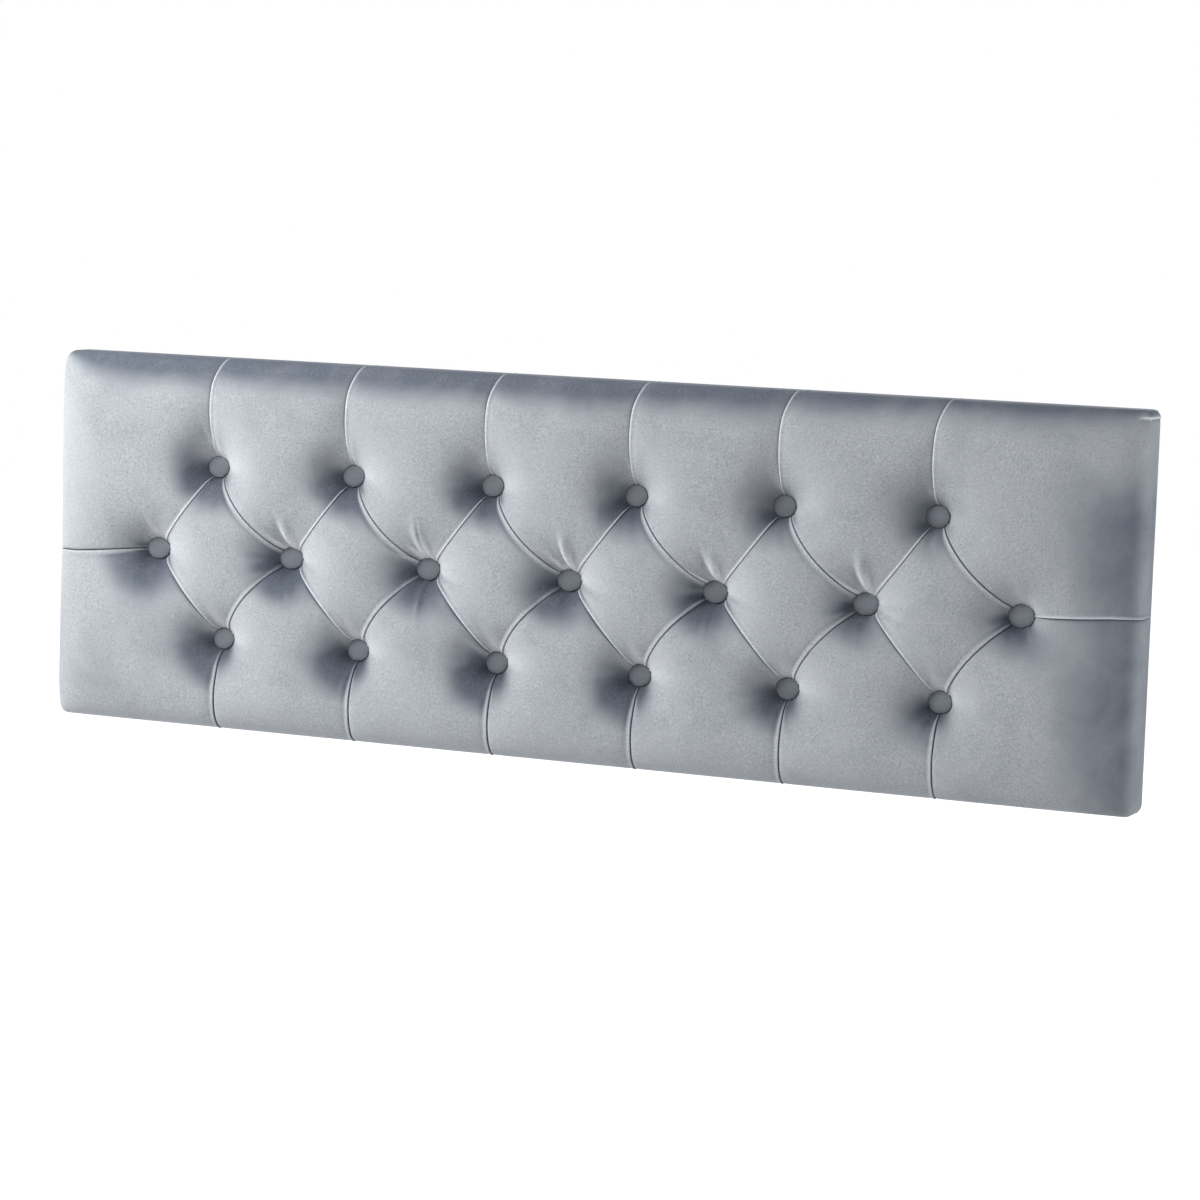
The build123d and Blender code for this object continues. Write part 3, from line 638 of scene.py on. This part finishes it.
def quilt_surface(quilt, shares, edge_shares):
    """The velvet's base form as grids in space, with the pleats' moves of each point."""
    grids, rims = front_grids(quilt, shares, edge_shares)
    bases = base_form(grids, quilt) + [skirt(rim.plan, SIDE_ROWS) for rim in rims]
    edge_tail = np.linspace(*EDGE_TAIL, len(edge_shares))
    tails = [edge_tail if g.plan.shape[1] == len(edge_shares) else 1 for g in grids]
    stations = np.arange(len(SIDE_ROWS))
    tails += [np.interp(stations, TAIL_ROWS, CORNER_TAIL if "u1" in rim.sides else SIDE_TAIL) for rim in rims]
    made = []
    for g, base, tail in zip(grids + rims, bases, tails):
        lift, shift, ridge = pleat_moves(base, g, quilt, tail)
        made.append((base, lift + corner_fold(base), shift, ridge))
    return made


def shading(points, x, normals):
    """The distance to the nearest button, the lean that sets painted shade and highlight, and the
    painted shade of the hollows.

    A face's lean counts for less towards both ends and, by DIM_RIGHT, on the right. Round the top
    buttons further right the painted shade is turned: faces that lean down get painted shade there, and by
    any other button a painted highlight. The right end and the lower left corner get painted shade. Faces
    that lean up by a button get the painted shade of a hollow. Each of the three fades from its button as a
    bell of its width."""
    z = points[:, 2]
    off_end = HALF_X - x
    away = np.array([np.hypot(points[:, 0] - place[0], z - place[1]) for place in BUTTONS])
    nearest, nearest_top = away.min(axis=0), away[:len(TOP)].min(axis=0)
    right = 1 - DIM_RIGHT * smooth(-100, 650, x)
    at_ends = (0.8 + 0.2 * smooth(0, 26, off_end)) * (0.72 + 0.28 * smooth(0, 150, HALF_X + x)) * right
    # Painted shade turned round the top buttons further right, and painted highlight on faces that lean down
    # by other buttons
    turned = bell(nearest_top, TURNED_SHADE_WIDTH) * smooth(-600, 450, x)
    leftward, downward = np.clip(-normals[:, 0], 0, 1), np.clip(-normals[:, 2], 0, 1)
    lean = painted_light_lean(normals) * at_ends * (1 - 0.35 * turned) + 0.15 * turned * leftward
    lean += downward * (0.45 * turned - 0.55 * (1 - turned) * bell(nearest, LIGHT_WIDTH))
    # Painted shade at the right end and in the lower left corner
    at_end = smooth(180, 30, off_end) * smooth(-6, 16, off_end) * (1 - 1.05 * smooth(105, 225, z))
    corner_shade_mask = smooth(-20, -190, z) * smooth(-236, -190, z) * smooth(-530, -690, points[:, 0])
    lean += END_SHADE * at_end + CORNER_SHADE * corner_shade_mask
    # Painted shade of the hollows, on faces that lean up by a button
    facing_up = np.clip((normals[:, 2] - 0.25 * turned) / 0.45, 0, 1)
    return nearest, lean, 0.8 * right * bell(nearest, HOLLOW_SHADE_WIDTH) * facing_up


def make_velvet(quilt, materials):
    """The cover: the base form moved by its pleats, with its raw edge turned in under the back."""
    made = quilt_surface(quilt, SHARES, EDGE_SHARES)
    points, quads, first = welded([grids[0] for grids in made])
    normals = point_normals(points, quads)
    lift, ridge = (np.concatenate([grids[n].ravel() for grids in made])[first] for n in (1, 3))
    shift = np.concatenate([grids[2].reshape(-1, 3) for grids in made])[first]
    moved = points + normals * lift[:, None] + shift
    moved[:, 2] += MIDDLE_Z
    cover = mesh_object("velvet_quilt", moved, quads, "panel", materials, ("velvet_cover",))
    normals = point_normals(moved, quads)
    nearest, lean, hollow_shade = shading(points, moved[:, 0], normals)
    # Painted shade and highlight by how each face leans
    store(cover, "painted_light_lay", lean)
    # Painted shade in the gaps under the lips and in the hollows by the buttons
    store(cover, "crease", np.maximum(np.clip(-lift / 2.5 - 0.1, 0, 1), hollow_shade))
    # Painted highlight on the pleats' ridges, the chief creases over the middle buttons and the corner fold
    creases = wrinkles(points[:, (0, 2)], chief=True) * (points[:, 1] < -SEAT - SIDE_LINE)
    wrinkle_highlight = smooth(0.4, 2.2, creases) * smooth(52, 22, nearest)
    store(cover, "fold", np.maximum.reduce([ridge, wrinkle_highlight, np.clip(corner_fold(points), 0, 1)]))


def make_foam(quilt, materials):
    """The foam under the velvet: the same form with few faces, FOAM_BELOW further in, and a flat back."""
    back = -node_box("foam_pad")[1][1]
    fronts, rims = front_grids(quilt, COARSE, COARSE)
    bases = base_form(fronts, quilt)
    rows = [(0, SEAT + SIDE_LINE), (0, back)]
    sides = [skirt(rim.plan, rows) for rim in rims]
    backs = [np.where([False, True, False], -back, base) for base in bases]
    points, quads, _ = welded(bases + sides + backs)
    inset = points - point_normals(points, quads) * FOAM_BELOW
    behind = points[:, 1] > -back - 0.01
    inset[:, 1] = np.where(behind, -back, np.minimum(inset[:, 1], -back - 0.7))
    inset[:, 2] += MIDDLE_Z
    made = mesh_object("foam_form", inset, quads, "panel", materials, ("foam_pad",))


def button_profile():
    """Radius and height of a covered button: a turned-in back, a rolled rim and a low dome."""
    turn = np.linspace(-60, 90, 11)
    cosine, sine = np.cos(np.radians(turn)), np.sin(np.radians(turn))
    rim = np.stack([DOME_RADIUS + ROLL * cosine, RIM_HEIGHT + ROLL * sine], 1)
    radius = np.linspace(12.2, 0.0, 10)
    dome = np.stack([radius, RIM_HEIGHT + ROLL + DOME_RISE * (1 - (radius / DOME_RADIUS) ** 2) ** 0.8], 1)
    back = np.array([(0.0, 0.25), (6.0, 0.2), (11.4, 0.3)])
    return np.concatenate([back, rim, dome])


def make_buttons(row, materials):
    """A row's buttons: the profile turned about each centre, rippled a little where the cloth gathers.

    The ripple on the rim is a few sines of the angle with seeded phases, different on each button."""
    profile, sides = button_profile(), 56
    angle = np.linspace(0, 2 * np.pi, sides, endpoint=False)
    rng = np.random.default_rng(len(row))
    points, faces = [], []
    for x, z in PLACES[row]:
        waves = sum(rng.uniform(0.02, 0.06) * np.sin(n * angle + rng.uniform(0, 7)) for n in (3, 5, 9, 14))
        edge = bell(profile[:, 0] - DOME_RADIUS - 1, 2.4)
        radius = profile[:, None, 0] * (1 + 0.012 * edge[:, None] * waves[None] / 0.05)
        tilt = rng.normal(0, 0.012, 2)
        px, pz = radius * np.cos(angle) * OVALS[row][0], radius * np.sin(angle) * OVALS[row][1]
        height = profile[:, None, 1] + (px * tilt[0] + pz * tilt[1]) * (profile[:, None, 1] > 3)
        ring = np.stack([x + px, -(SEAT + height), z + pz + MIDDLE_Z], -1)
        ring = np.concatenate([ring, ring[:, :1]], 1)
        base = sum(len(p) for p in points)
        faces.append(grid_faces(*ring.shape[:2], base, False))
        points.append(ring.reshape(-1, 3))
    points, faces = merged(np.concatenate(points), np.concatenate(faces))
    made = mesh_object(f"{row}_covers", points, faces, "panel", materials,
                       (f"{row}_buttons",))
    normals = np.empty(3 * len(made.data.vertices), np.float32)
    made.data.vertex_normals.foreach_get("vector", normals)
    # Painted shade and highlight on the covers by how they lean, and painted light on the buttons towards the
    # right
    store(made, "painted_light_lay", painted_light_lean(normals.reshape(-1, 3)) * 0.75 - 0.25 * smooth(200, 560, points[:, 0]))


def merged(points, faces):
    """Points at the same place made one, and quads with a doubled corner made triangles."""
    _, first, index = np.unique(np.round(points, 4), axis=0, return_index=True, return_inverse=True)
    made = []
    for face in index.reshape(-1)[faces].tolist():
        kept = [p for n, p in enumerate(face) if p != face[n - 1]]
        if len(kept) > 2:
            made.append(kept)
    return points[first], made


def make_dust_cloth(materials):
    """The thin cloth tacked over the back, which puffs a little between its tacks.

    It stands back from its tacks by PUFF |sin(pi s / spacing)| exp(-d/PUFF_REACH) at a distance d in
    from each edge, with s counted along that edge. It lies flat under the felt pads and wherever the
    hanging rails pass as the panel is lifted off."""
    low, high = node_box("dust_cover")
    x, z = np.meshgrid(np.linspace(low[0], high[0], 361), np.linspace(low[2], high[2], 121), indexing="ij")
    puff = np.zeros_like(x)
    for here, start, end, off_low, off_high in ((x, low[0], high[0], z - low[2], high[2] - z),
                                                (z, low[2], high[2], x - low[0], high[0] - x)):
        edge = TACK_INSET - DUST_INSET
        count = round((end - start - 2 * edge) / TACK_SPACING)
        share = (here - start - edge) / (end - start - 2 * edge) * count
        wave = np.abs(np.cos(math.pi * share)) * smooth(0, 25, np.minimum(here - start, end - here))
        for off in (off_low, off_high):
            puff += wave * (np.exp(-np.abs(off - edge) / PUFF_REACH) - np.exp(-np.abs(off - edge) / 4) * 0.5)
    (rail_low, rail_high), (wall_low, wall_high) = node_box("panel_rail"), node_box("wall_rail")
    under, over = min(rail_low[2], wall_low[2] - LIFT), max(rail_high[2], wall_high[2])
    flat = smooth(4, 26, np.maximum(np.maximum(under - z, z - over), np.abs(x) - rail_high[0]))
    for name in ("left_bumper", "right_bumper"):
        middle = sum(node_box(name)) / 2
        away = np.maximum(np.abs(x - middle[0]), np.abs(z - middle[2]))
        flat = flat * smooth(20, 40, away)
    slack = SLACK * np.sin(x / 41 + 0.5 * np.sin(z / 37)) * np.sin(z / 53 + 1)
    back = high[1] + (PUFF * puff + SLACK + slack) * flat
    outer = np.stack([x, back, z], -1)
    inner = np.stack([x, back - (high[1] - low[1]), z], -1)
    points, faces = shell(outer, inner)
    made = mesh_object("dust_cloth", points, faces, "panel", materials, ("dust_cover",))


def shell(outer, inner):
    """A closed shell of two like grids joined round their rims; outer faces its own first order's way."""
    rows, columns = outer.shape[:2]
    count = rows * columns
    index = np.arange(count).reshape(rows, columns)
    ring = np.concatenate([index[:-1, 0], index[-1, :-1], index[:0:-1, -1], index[0, :0:-1]])
    after = np.roll(ring, -1)
    faces = [grid_faces(rows, columns, 0, False), grid_faces(rows, columns, count, True),
             np.stack([after, ring, ring + count, after + count], 1)]
    return np.concatenate([outer.reshape(-1, 3), inner.reshape(-1, 3)]), np.concatenate(faces)


def make_felt(side, materials):
    """A square felt pad: a superellipse of power 7 carried through a profile with softened edges."""
    low, high = node_box(f"{side}_bumper")
    middle, half = (low + high) / 2, (high - low) / 2
    profile = np.array([(0.0, 0.0), (0.7, 0.0), (0.93, 0.0), (0.975, 0.35), (1.0, 1.0), (1.0, 2.5),
                        (1.0, 3.9), (0.975, 4.6), (0.93, 4.9), (0.7, 4.9), (0.0, 4.9)])
    angle = np.linspace(0, 2 * np.pi, 97)
    cosine, sine = np.cos(angle), np.sin(angle)
    reach = (np.abs(cosine) ** 7 + np.abs(sine) ** 7) ** (-1 / 7)
    fuzz = 1 + 0.004 * np.sin(23 * angle) * np.sin(5 * angle + 1)
    x = middle[0] + half[0] * profile[:, :1] * (reach * fuzz * cosine)[None]
    z = middle[2] + half[2] * profile[:, :1] * (reach * fuzz * sine)[None]
    y = high[1] - profile[:, 1:] / profile[-1, 1] * (high[1] - low[1]) + 0 * x
    grid = np.stack([x, y, z], -1)
    points, faces = merged(grid.reshape(-1, 3), grid_faces(*grid.shape[:2], 0, True))
    mesh_object(f"{side}_felt_pad", points, faces, "panel", materials, (f"{side}_bumper",))


# Shader nodes

def node(tree, kind, at, **values):
    """A shader node of a kind, with named settings and input values."""
    made = tree.nodes.new("ShaderNode" + kind)
    made.location = at
    for key, value in values.items():
        if hasattr(made, key):
            setattr(made, key, value)
        else:
            made.inputs[key.replace("_", " ")].default_value = value
    return made


def wire(tree, *runs):
    """Links, each given as a node, its output, another node and its input."""
    for source, output, target, label in runs:
        tree.links.new(source.outputs[output], target.inputs[label])


def group(name, inputs, outputs):
    """A shader node group with named float inputs and outputs of given socket types."""
    tree = bpy.data.node_groups.new(name, "ShaderNodeTree")
    for label, value in inputs.items():
        kind = "NodeSocketColor" if isinstance(value, tuple) else "NodeSocketFloat"
        socket = tree.interface.new_socket(name=label, in_out="INPUT", socket_type=kind)
        socket.default_value = value
    for label, kind in outputs.items():
        tree.interface.new_socket(name=label, in_out="OUTPUT", socket_type=kind)
    return tree, tree.nodes.new("NodeGroupInput"), tree.nodes.new("NodeGroupOutput")


def pile_group():
    """Velvet colour: lit, plain and shaded copies by how it leans, as painted highlight and painted shade,
    blotches where it was brushed, painted highlight on folds, painted shade in creases, and fine grain.
    """
    tree, into, out = group(
        "Velvet pile and painted light",
        {"Light": (0.5, 0.5, 0.5, 1), "Colour": (0.35, 0.37, 0.4, 1), "Shade": (0.2, 0.22, 0.26, 1),
         "Lean": 0.0, "Crease": 0.0, "Fold highlight": 0.0, "Blotches": 0.3, "Grain": 0.5},
        {"Colour": "NodeSocketColor", "Height": "NodeSocketFloat"},
    )
    link, given = tree.links.new, into.outputs
    where = node(tree, "TexCoord", (-1100, 0))
    blotch = node(tree, "TexNoise", (-900, 250), Scale=13.0, Detail=6.0, Roughness=0.62,
                  Distortion=0.5)
    grain = node(tree, "TexNoise", (-900, -100), Scale=430.0, Detail=3.0, Roughness=0.7)
    wire(tree, (where, "Object", blotch, "Vector"), (where, "Object", grain, "Vector"))

    def fed(made, labels, values, output):
        """A node's output, with these sockets or values put into its inputs."""
        for label, value in zip(labels, values):
            if isinstance(value, bpy.types.NodeSocket):
                link(value, made.inputs[label])
            else:
                made.inputs[label].default_value = value
        return made.outputs[output]

    def math_node(operation, first, second, at, clamp=False):
        """A Math node's result."""
        made = node(tree, "Math", at, operation=operation, use_clamp=clamp)
        return fed(made, (0, 1), (first, second), 0)

    def mixed(factor, first, second, at, blend="MIX"):
        """A mix of two colours."""
        made = node(tree, "Mix", at, data_type="RGBA", blend_type=blend)
        return fed(made, ("Factor", "A", "B"), (factor, first, second), "Result")

    def swing(source, amount, at):
        """(noise - 0.5) times an amount."""
        centred = math_node("SUBTRACT", source, 0.5, at)
        return math_node("MULTIPLY", centred, amount, (at[0] + 160, at[1]))

    brushed = swing(blotch.outputs["Fac"], given["Blotches"], (-680, 250))
    fine = swing(grain.outputs["Fac"], given["Grain"], (-680, -100))
    lean = math_node("ADD", given["Lean"], math_node("MULTIPLY", fine, 0.25, (-350, 100)), (-200, 250))
    # Painted shade as a face leans against the pile, and painted highlight as it leans with it
    against = node(tree, "MapRange", (-40, 300), interpolation_type="SMOOTHERSTEP",
                   From_Min=0.02, From_Max=0.52)
    along = node(tree, "MapRange", (-40, 50), From_Min=-0.01, From_Max=-0.25)
    for level in (against, along):
        link(lean, level.inputs["Value"])
    # Painted highlight on folds: towards the lit copy, and brighter still in the grain's multiplier
    folded = math_node("MULTIPLY", given["Fold highlight"], 0.85, (-40, -150))
    lit = math_node("MAXIMUM", along.outputs["Result"], folded, (120, 0))
    shade_factor = math_node("ADD", against.outputs["Result"], brushed, (120, 350), clamp=True)
    colour = mixed(shade_factor, given["Colour"], given["Shade"], (280, 250))
    colour = mixed(lit, colour, given["Light"], (440, 200))
    # Painted shade in creases and in the hollows by the buttons
    colour = mixed(given["Crease"], colour, CREASE_SHADE_TINT, (600, 200), "MULTIPLY")
    painted_glow = math_node("MULTIPLY", given["Fold highlight"], 0.32, (440, -200))
    grain_and_glow = math_node("ADD", math_node("ADD", fine, painted_glow, (600, -100)), 1.0, (700, -100))
    link(mixed(1.0, colour, grain_and_glow, (780, 200), "MULTIPLY"), out.inputs["Colour"])
    link(grain.outputs["Fac"], out.inputs["Height"])
    return tree


def surface(name, **values):
    """A new material with its tree and its shader, whose named inputs take these values."""
    material = bpy.data.materials.new(name)
    material.use_nodes = True
    shader = material.node_tree.nodes["Principled BSDF"]
    for key, value in values.items():
        shader.inputs[key.replace("_", " ")].default_value = value
    return material, material.node_tree, shader


def velvet_material(name, pile, velvet, colours, attributes, blotches, grain):
    """Velvet: the pile group, with its painted light and shade, into a rough sheened surface with a fine
    bump.
    """
    material, tree, shader = surface(
        name, Roughness=0.9, Specular_IOR_Level=0.12, Sheen_Weight=velvet.sheen, Sheen_Roughness=0.30,
        Sheen_Tint=(0.82, 0.85, 0.92, 1))
    effect = node(tree, "Group", (-300, 200), node_tree=pile, Blotches=blotches, Grain=grain)
    for label, value in zip(("Light", "Colour", "Shade"), colours):
        effect.inputs[label].default_value = (*value, 1)
    for n, (label, attribute) in enumerate(attributes.items()):
        read = node(tree, "Attribute", (-700, 300 - 200 * n), attribute_name=attribute)
        wire(tree, (read, "Fac", effect, label))
    bump = node(tree, "Bump", (-150, -200), Strength=0.22, Distance=0.0006)
    wire(tree, (effect, "Height", bump, "Height"), (bump, "Normal", shader, "Normal"),
         (effect, "Colour", shader, "Base Color"))
    return material


def plain_material(name, colour, roughness, metallic=0.0, scale=60.0, swing=0.1, bump=0.1, stretch=(1, 1, 1)):
    """A finish with grain: noise stretched along the grain's way varies its colour, gloss and height."""
    material, tree, shader = surface(name, Metallic=metallic)
    where = node(tree, "TexCoord", (-900, 0))
    mapping = node(tree, "Mapping", (-720, 0), Scale=stretch)
    texture = node(tree, "TexNoise", (-540, 0), Scale=scale, Detail=6.0, Roughness=0.6)
    low, high = ([min(c * share, 1) for c in colour] for share in (1 - swing, 1 + swing))
    ramp = node(tree, "Mix", (-300, 200), data_type="RGBA", A=(*low, 1), B=(*high, 1))
    rough = node(tree, "MapRange", (-300, -50), To_Min=roughness * 0.85,
                 To_Max=min(roughness * 1.15, 1))
    height = node(tree, "Bump", (-300, -300), Strength=bump, Distance=0.0005)
    wire(tree, (where, "Object", mapping, "Vector"), (mapping, "Vector", texture, "Vector"),
         (texture, "Fac", ramp, "Factor"), (ramp, "Result", shader, "Base Color"),
         (texture, "Fac", rough, "Value"), (rough, "Result", shader, "Roughness"),
         (texture, "Fac", height, "Height"), (height, "Normal", shader, "Normal"))
    return material


def finish(nodes, *look, **grain):
    """One new plain material for these nodes of the CAD model."""
    material = plain_material(*look, **grain)
    for name in nodes:
        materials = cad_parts[name].data.materials
        materials.clear()
        materials.append(material)
    return material


# Operators

class HEADBOARD_OT_velvet(Operator):
    """Makes the velvet cover and the foam under it"""

    bl_idname = "headboard.velvet"
    bl_label = "Velvet cover"

    def execute(self, context):
        scene = context.scene
        pile = pile_group()
        velvet = scene.headboard_velvet
        # The velvet's colour with its painted lit and shaded copies, and the attributes of painted light and
        # shade
        cloth = velvet_material("Grey-blue velvet", pile, velvet, (velvet.light, velvet.colour, velvet.shade),
                                {"Lean": "painted_light_lay", "Crease": "crease", "Fold highlight": "fold"}, 0.85, 1.3)
        make_velvet(scene.headboard_quilt, [cloth])
        foam = finish([f"edge_foam_{side}" for side in ("top", "bottom", "left", "right")],
                      "Upholstery foam", (0.80, 0.76, 0.62), 0.9, scale=700, swing=0.08, bump=0.4)
        make_foam(scene.headboard_quilt, [foam])
        return {"FINISHED"}


class HEADBOARD_OT_buttons(Operator):
    """Makes the covered buttons, row by row"""

    bl_idname = "headboard.buttons"
    bl_label = "Covered buttons"

    def execute(self, context):
        velvet = context.scene.headboard_velvet
        pile = bpy.data.node_groups["Velvet pile and painted light"]
        # Painted lit, plain and shaded copies of the button velvet
        painted_button_shades = [[share * part for part in velvet.button] for share in (1.35, 1.0, 0.6)]
        cloth = velvet_material("Button velvet in painted shade", pile, velvet, painted_button_shades, {"Lean": "painted_light_lay"}, 0.7, 0.6)
        for row in ROW_COUNTS:
            make_buttons(row, [cloth])
        return {"FINISHED"}


class HEADBOARD_OT_back(Operator):
    """Finishes the frame, the hanging rails and the back"""

    bl_idname = "headboard.back"
    bl_label = "Frame, rails and back"

    def execute(self, context):
        wooden = ("top_rail", "bottom_rail", "left_stile", "left_mid_stile", "right_mid_stile", "right_stile",
                  "tie_bars")
        finish(wooden, "Planed pine", (0.62, 0.43, 0.22), 0.6, scale=14, swing=0.2, stretch=(0.15, 3, 3))
        finish(("button_board",), "Birch plywood", (0.60, 0.46, 0.29), 0.6, scale=12, swing=0.14,
               stretch=(0.3, 3, 2))
        finish(("button_twines",), "Waxed twine", (0.66, 0.58, 0.42), 0.7, scale=900, swing=0.2)
        finish(("wall_rail", "panel_rail"), "Mill aluminium", (0.72, 0.73, 0.75), 0.34, 1.0, scale=90,
               swing=0.06, bump=0.05, stretch=(0.05, 6, 6))
        finish(("dust_cover_staples", "velvet_staples"), "Galvanised wire", (0.55, 0.56, 0.58), 0.4, 1.0,
               scale=400, swing=0.1)
        finish(("panel_rail_screws",), "Zinc-plated steel", (0.60, 0.60, 0.63), 0.3, 1.0, scale=300,
               swing=0.08)
        felt = plain_material("Pressed felt", (0.045, 0.045, 0.05), 0.95, scale=800, swing=0.4, bump=0.5)
        cloth = plain_material("Black dust cloth", (0.040, 0.040, 0.044), 0.75, scale=420, swing=0.45,
                               bump=0.6)
        make_dust_cloth([cloth])
        for side in ("left", "right"):
            make_felt(side, [felt])
        return {"FINISHED"}


# Camera and lights

CAMERA_PLACE = Vector((2.01519, -4.54670, 0.34579))
CAMERA_TURN = Matrix((
    (0.91403848, -0.0742131, 0.39878073),
    (0.40427244, 0.08638075, -0.91055047),
    (0.03312779, 0.99349423, 0.10895764),
))
CAMERA_LENS = 117.271
KEY_PLACE, KEY_AIM, KEY_SIZE = (-2.0, -1.6, 1.35), (-0.15, 0, -0.15), (1.2, 1.2)
END_PLACE, END_AIM, END_SIZE = (2.6, -0.22, 0.1), (0.3, 0, -0.16), (0.8, 0.8)
SKY_TINT = (0.945, 0.96, 1.0, 1)
FLOOR_HALF = 9.0


class HEADBOARD_OT_stage(Operator):
    """Sets up the floor, the lights and the camera"""

    bl_idname = "headboard.stage"
    bl_label = "Stage"

    def execute(self, context):
        scene = context.scene
        stage = scene.headboard_stage
        scene.view_settings.view_transform = "Standard"
        self.camera(scene)
        self.sky(scene, stage.sky)
        self.floor(PANEL_LOW[2] * MM - stage.floor_gap)
        self.lamp("key_light", KEY_PLACE, KEY_AIM, KEY_SIZE, stage.key_power)
        self.lamp("end_light", END_PLACE, END_AIM, END_SIZE, stage.end_power)
        return {"FINISHED"}

    @staticmethod
    def camera(scene):
        """The camera at the photograph's angle."""
        data = bpy.data.cameras.new("camera")
        data.lens, data.sensor_width, data.sensor_fit = CAMERA_LENS, 36.0, "HORIZONTAL"
        data.clip_end = 50
        made = placed("camera", data)
        made.matrix_world = Matrix.Translation(CAMERA_PLACE) @ CAMERA_TURN.to_4x4()
        scene.camera = made

    @staticmethod
    def lamp(name, place, aim, size, power):
        """A soft rectangular lamp turned towards a point."""
        data = bpy.data.lights.new(name, "AREA")
        data.shape, data.size, data.size_y, data.energy = "RECTANGLE", size[0], size[1], power
        made = placed(name, data)
        made.location = place
        made.rotation_euler = (Vector(aim) - Vector(place)).to_track_quat("-Z", "Y").to_euler()

    @staticmethod
    def sky(scene, strength):
        """An even pale sky that the camera sees as white."""
        world = bpy.data.worlds.new("sky")
        scene.world = world
        world.use_nodes = True
        tree = world.node_tree
        back = tree.nodes["Background"]
        tint = node(tree, "Mix", (-200, 200), data_type="RGBA", A=SKY_TINT, B=(1, 1, 1, 1))
        path = node(tree, "LightPath", (-800, 0))
        shown, output = path, "Is Camera Ray"
        for n, ray in enumerate(("Is Transmission Ray", "Is Glossy Ray")):
            either = node(tree, "Math", (200 * n - 600, 0), operation="MAXIMUM")
            tree.links.new(shown.outputs[output], either.inputs[0])
            tree.links.new(path.outputs[ray], either.inputs[1])
            shown, output = either, "Value"
        level = node(tree, "MapRange", (-200, 0), To_Min=strength, To_Max=1.0)
        wire(tree, (shown, output, level, "Value"), (shown, output, tint, "Factor"),
             (tint, "Result", back, "Color"), (level, "Result", back, "Strength"))

    @staticmethod
    def floor(height):
        """A wide pale floor, white to the camera where nothing shades it."""
        corners = FLOOR_HALF * np.array([(-1, -1), (1, -1), (1, 1), (-1, 1)])
        mesh = bpy.data.meshes.new("floor")
        mesh.from_pydata([(x, y, height) for x, y in corners.tolist()], [], [(0, 1, 2, 3)])
        material, tree, shader = surface(
            "Pale floor", Base_Color=(0.86, 0.86, 0.86, 1), Roughness=0.9, Emission_Color=(1, 1, 1, 1))
        path = node(tree, "LightPath", (-300, -200))
        lit = node(tree, "Math", (-100, -200), operation="MULTIPLY")
        lit.inputs[1].default_value = 0.9
        tree.links.new(path.outputs["Is Camera Ray"], lit.inputs[0])
        tree.links.new(lit.outputs[0], shader.inputs["Emission Strength"])
        mesh.materials.append(material)
        made = placed("floor", mesh)


class HEADBOARD_PT_panel(Panel):
    """Lists the settings and the steps that build the headboard panel."""

    bl_idname = "HEADBOARD_PT_panel"
    bl_label = "Headboard panel"
    bl_space_type = "VIEW_3D"
    bl_region_type = "UI"
    bl_category = "Headboard"

    def draw(self, context):
        for group_name in SETTINGS:
            settings = getattr(context.scene, group_name)
            box = self.layout.box()
            for prop in settings.bl_rna.properties:
                if not prop.is_readonly and prop.identifier != "name":
                    box.prop(settings, prop.identifier)
        for step in STEPS:
            self.layout.operator(step.bl_idname)


SETTINGS = {
    "headboard_quilt": QuiltSettings,
    "headboard_velvet": VelvetSettings,
    "headboard_stage": StageSettings,
}
STEPS = (HEADBOARD_OT_velvet, HEADBOARD_OT_buttons, HEADBOARD_OT_back, HEADBOARD_OT_stage)


def register():
    """Registers the classes and hangs the settings on the scene."""
    for cls in (*SETTINGS.values(), *STEPS, HEADBOARD_PT_panel):
        bpy.utils.register_class(cls)
    for name, cls in SETTINGS.items():
        setattr(bpy.types.Scene, name, PointerProperty(type=cls))


def unregister():
    """Takes the settings and classes away again."""
    for name in SETTINGS:
        delattr(bpy.types.Scene, name)
    for cls in (HEADBOARD_PT_panel, *reversed(STEPS), *reversed(SETTINGS.values())):
        bpy.utils.unregister_class(cls)


def main():
    """Builds every piece and the stage."""
    register()
    for step in STEPS:
        area, name = step.bl_idname.split(".")
        getattr(getattr(bpy.ops, area), name)()


if __name__ == "__main__":
    main()
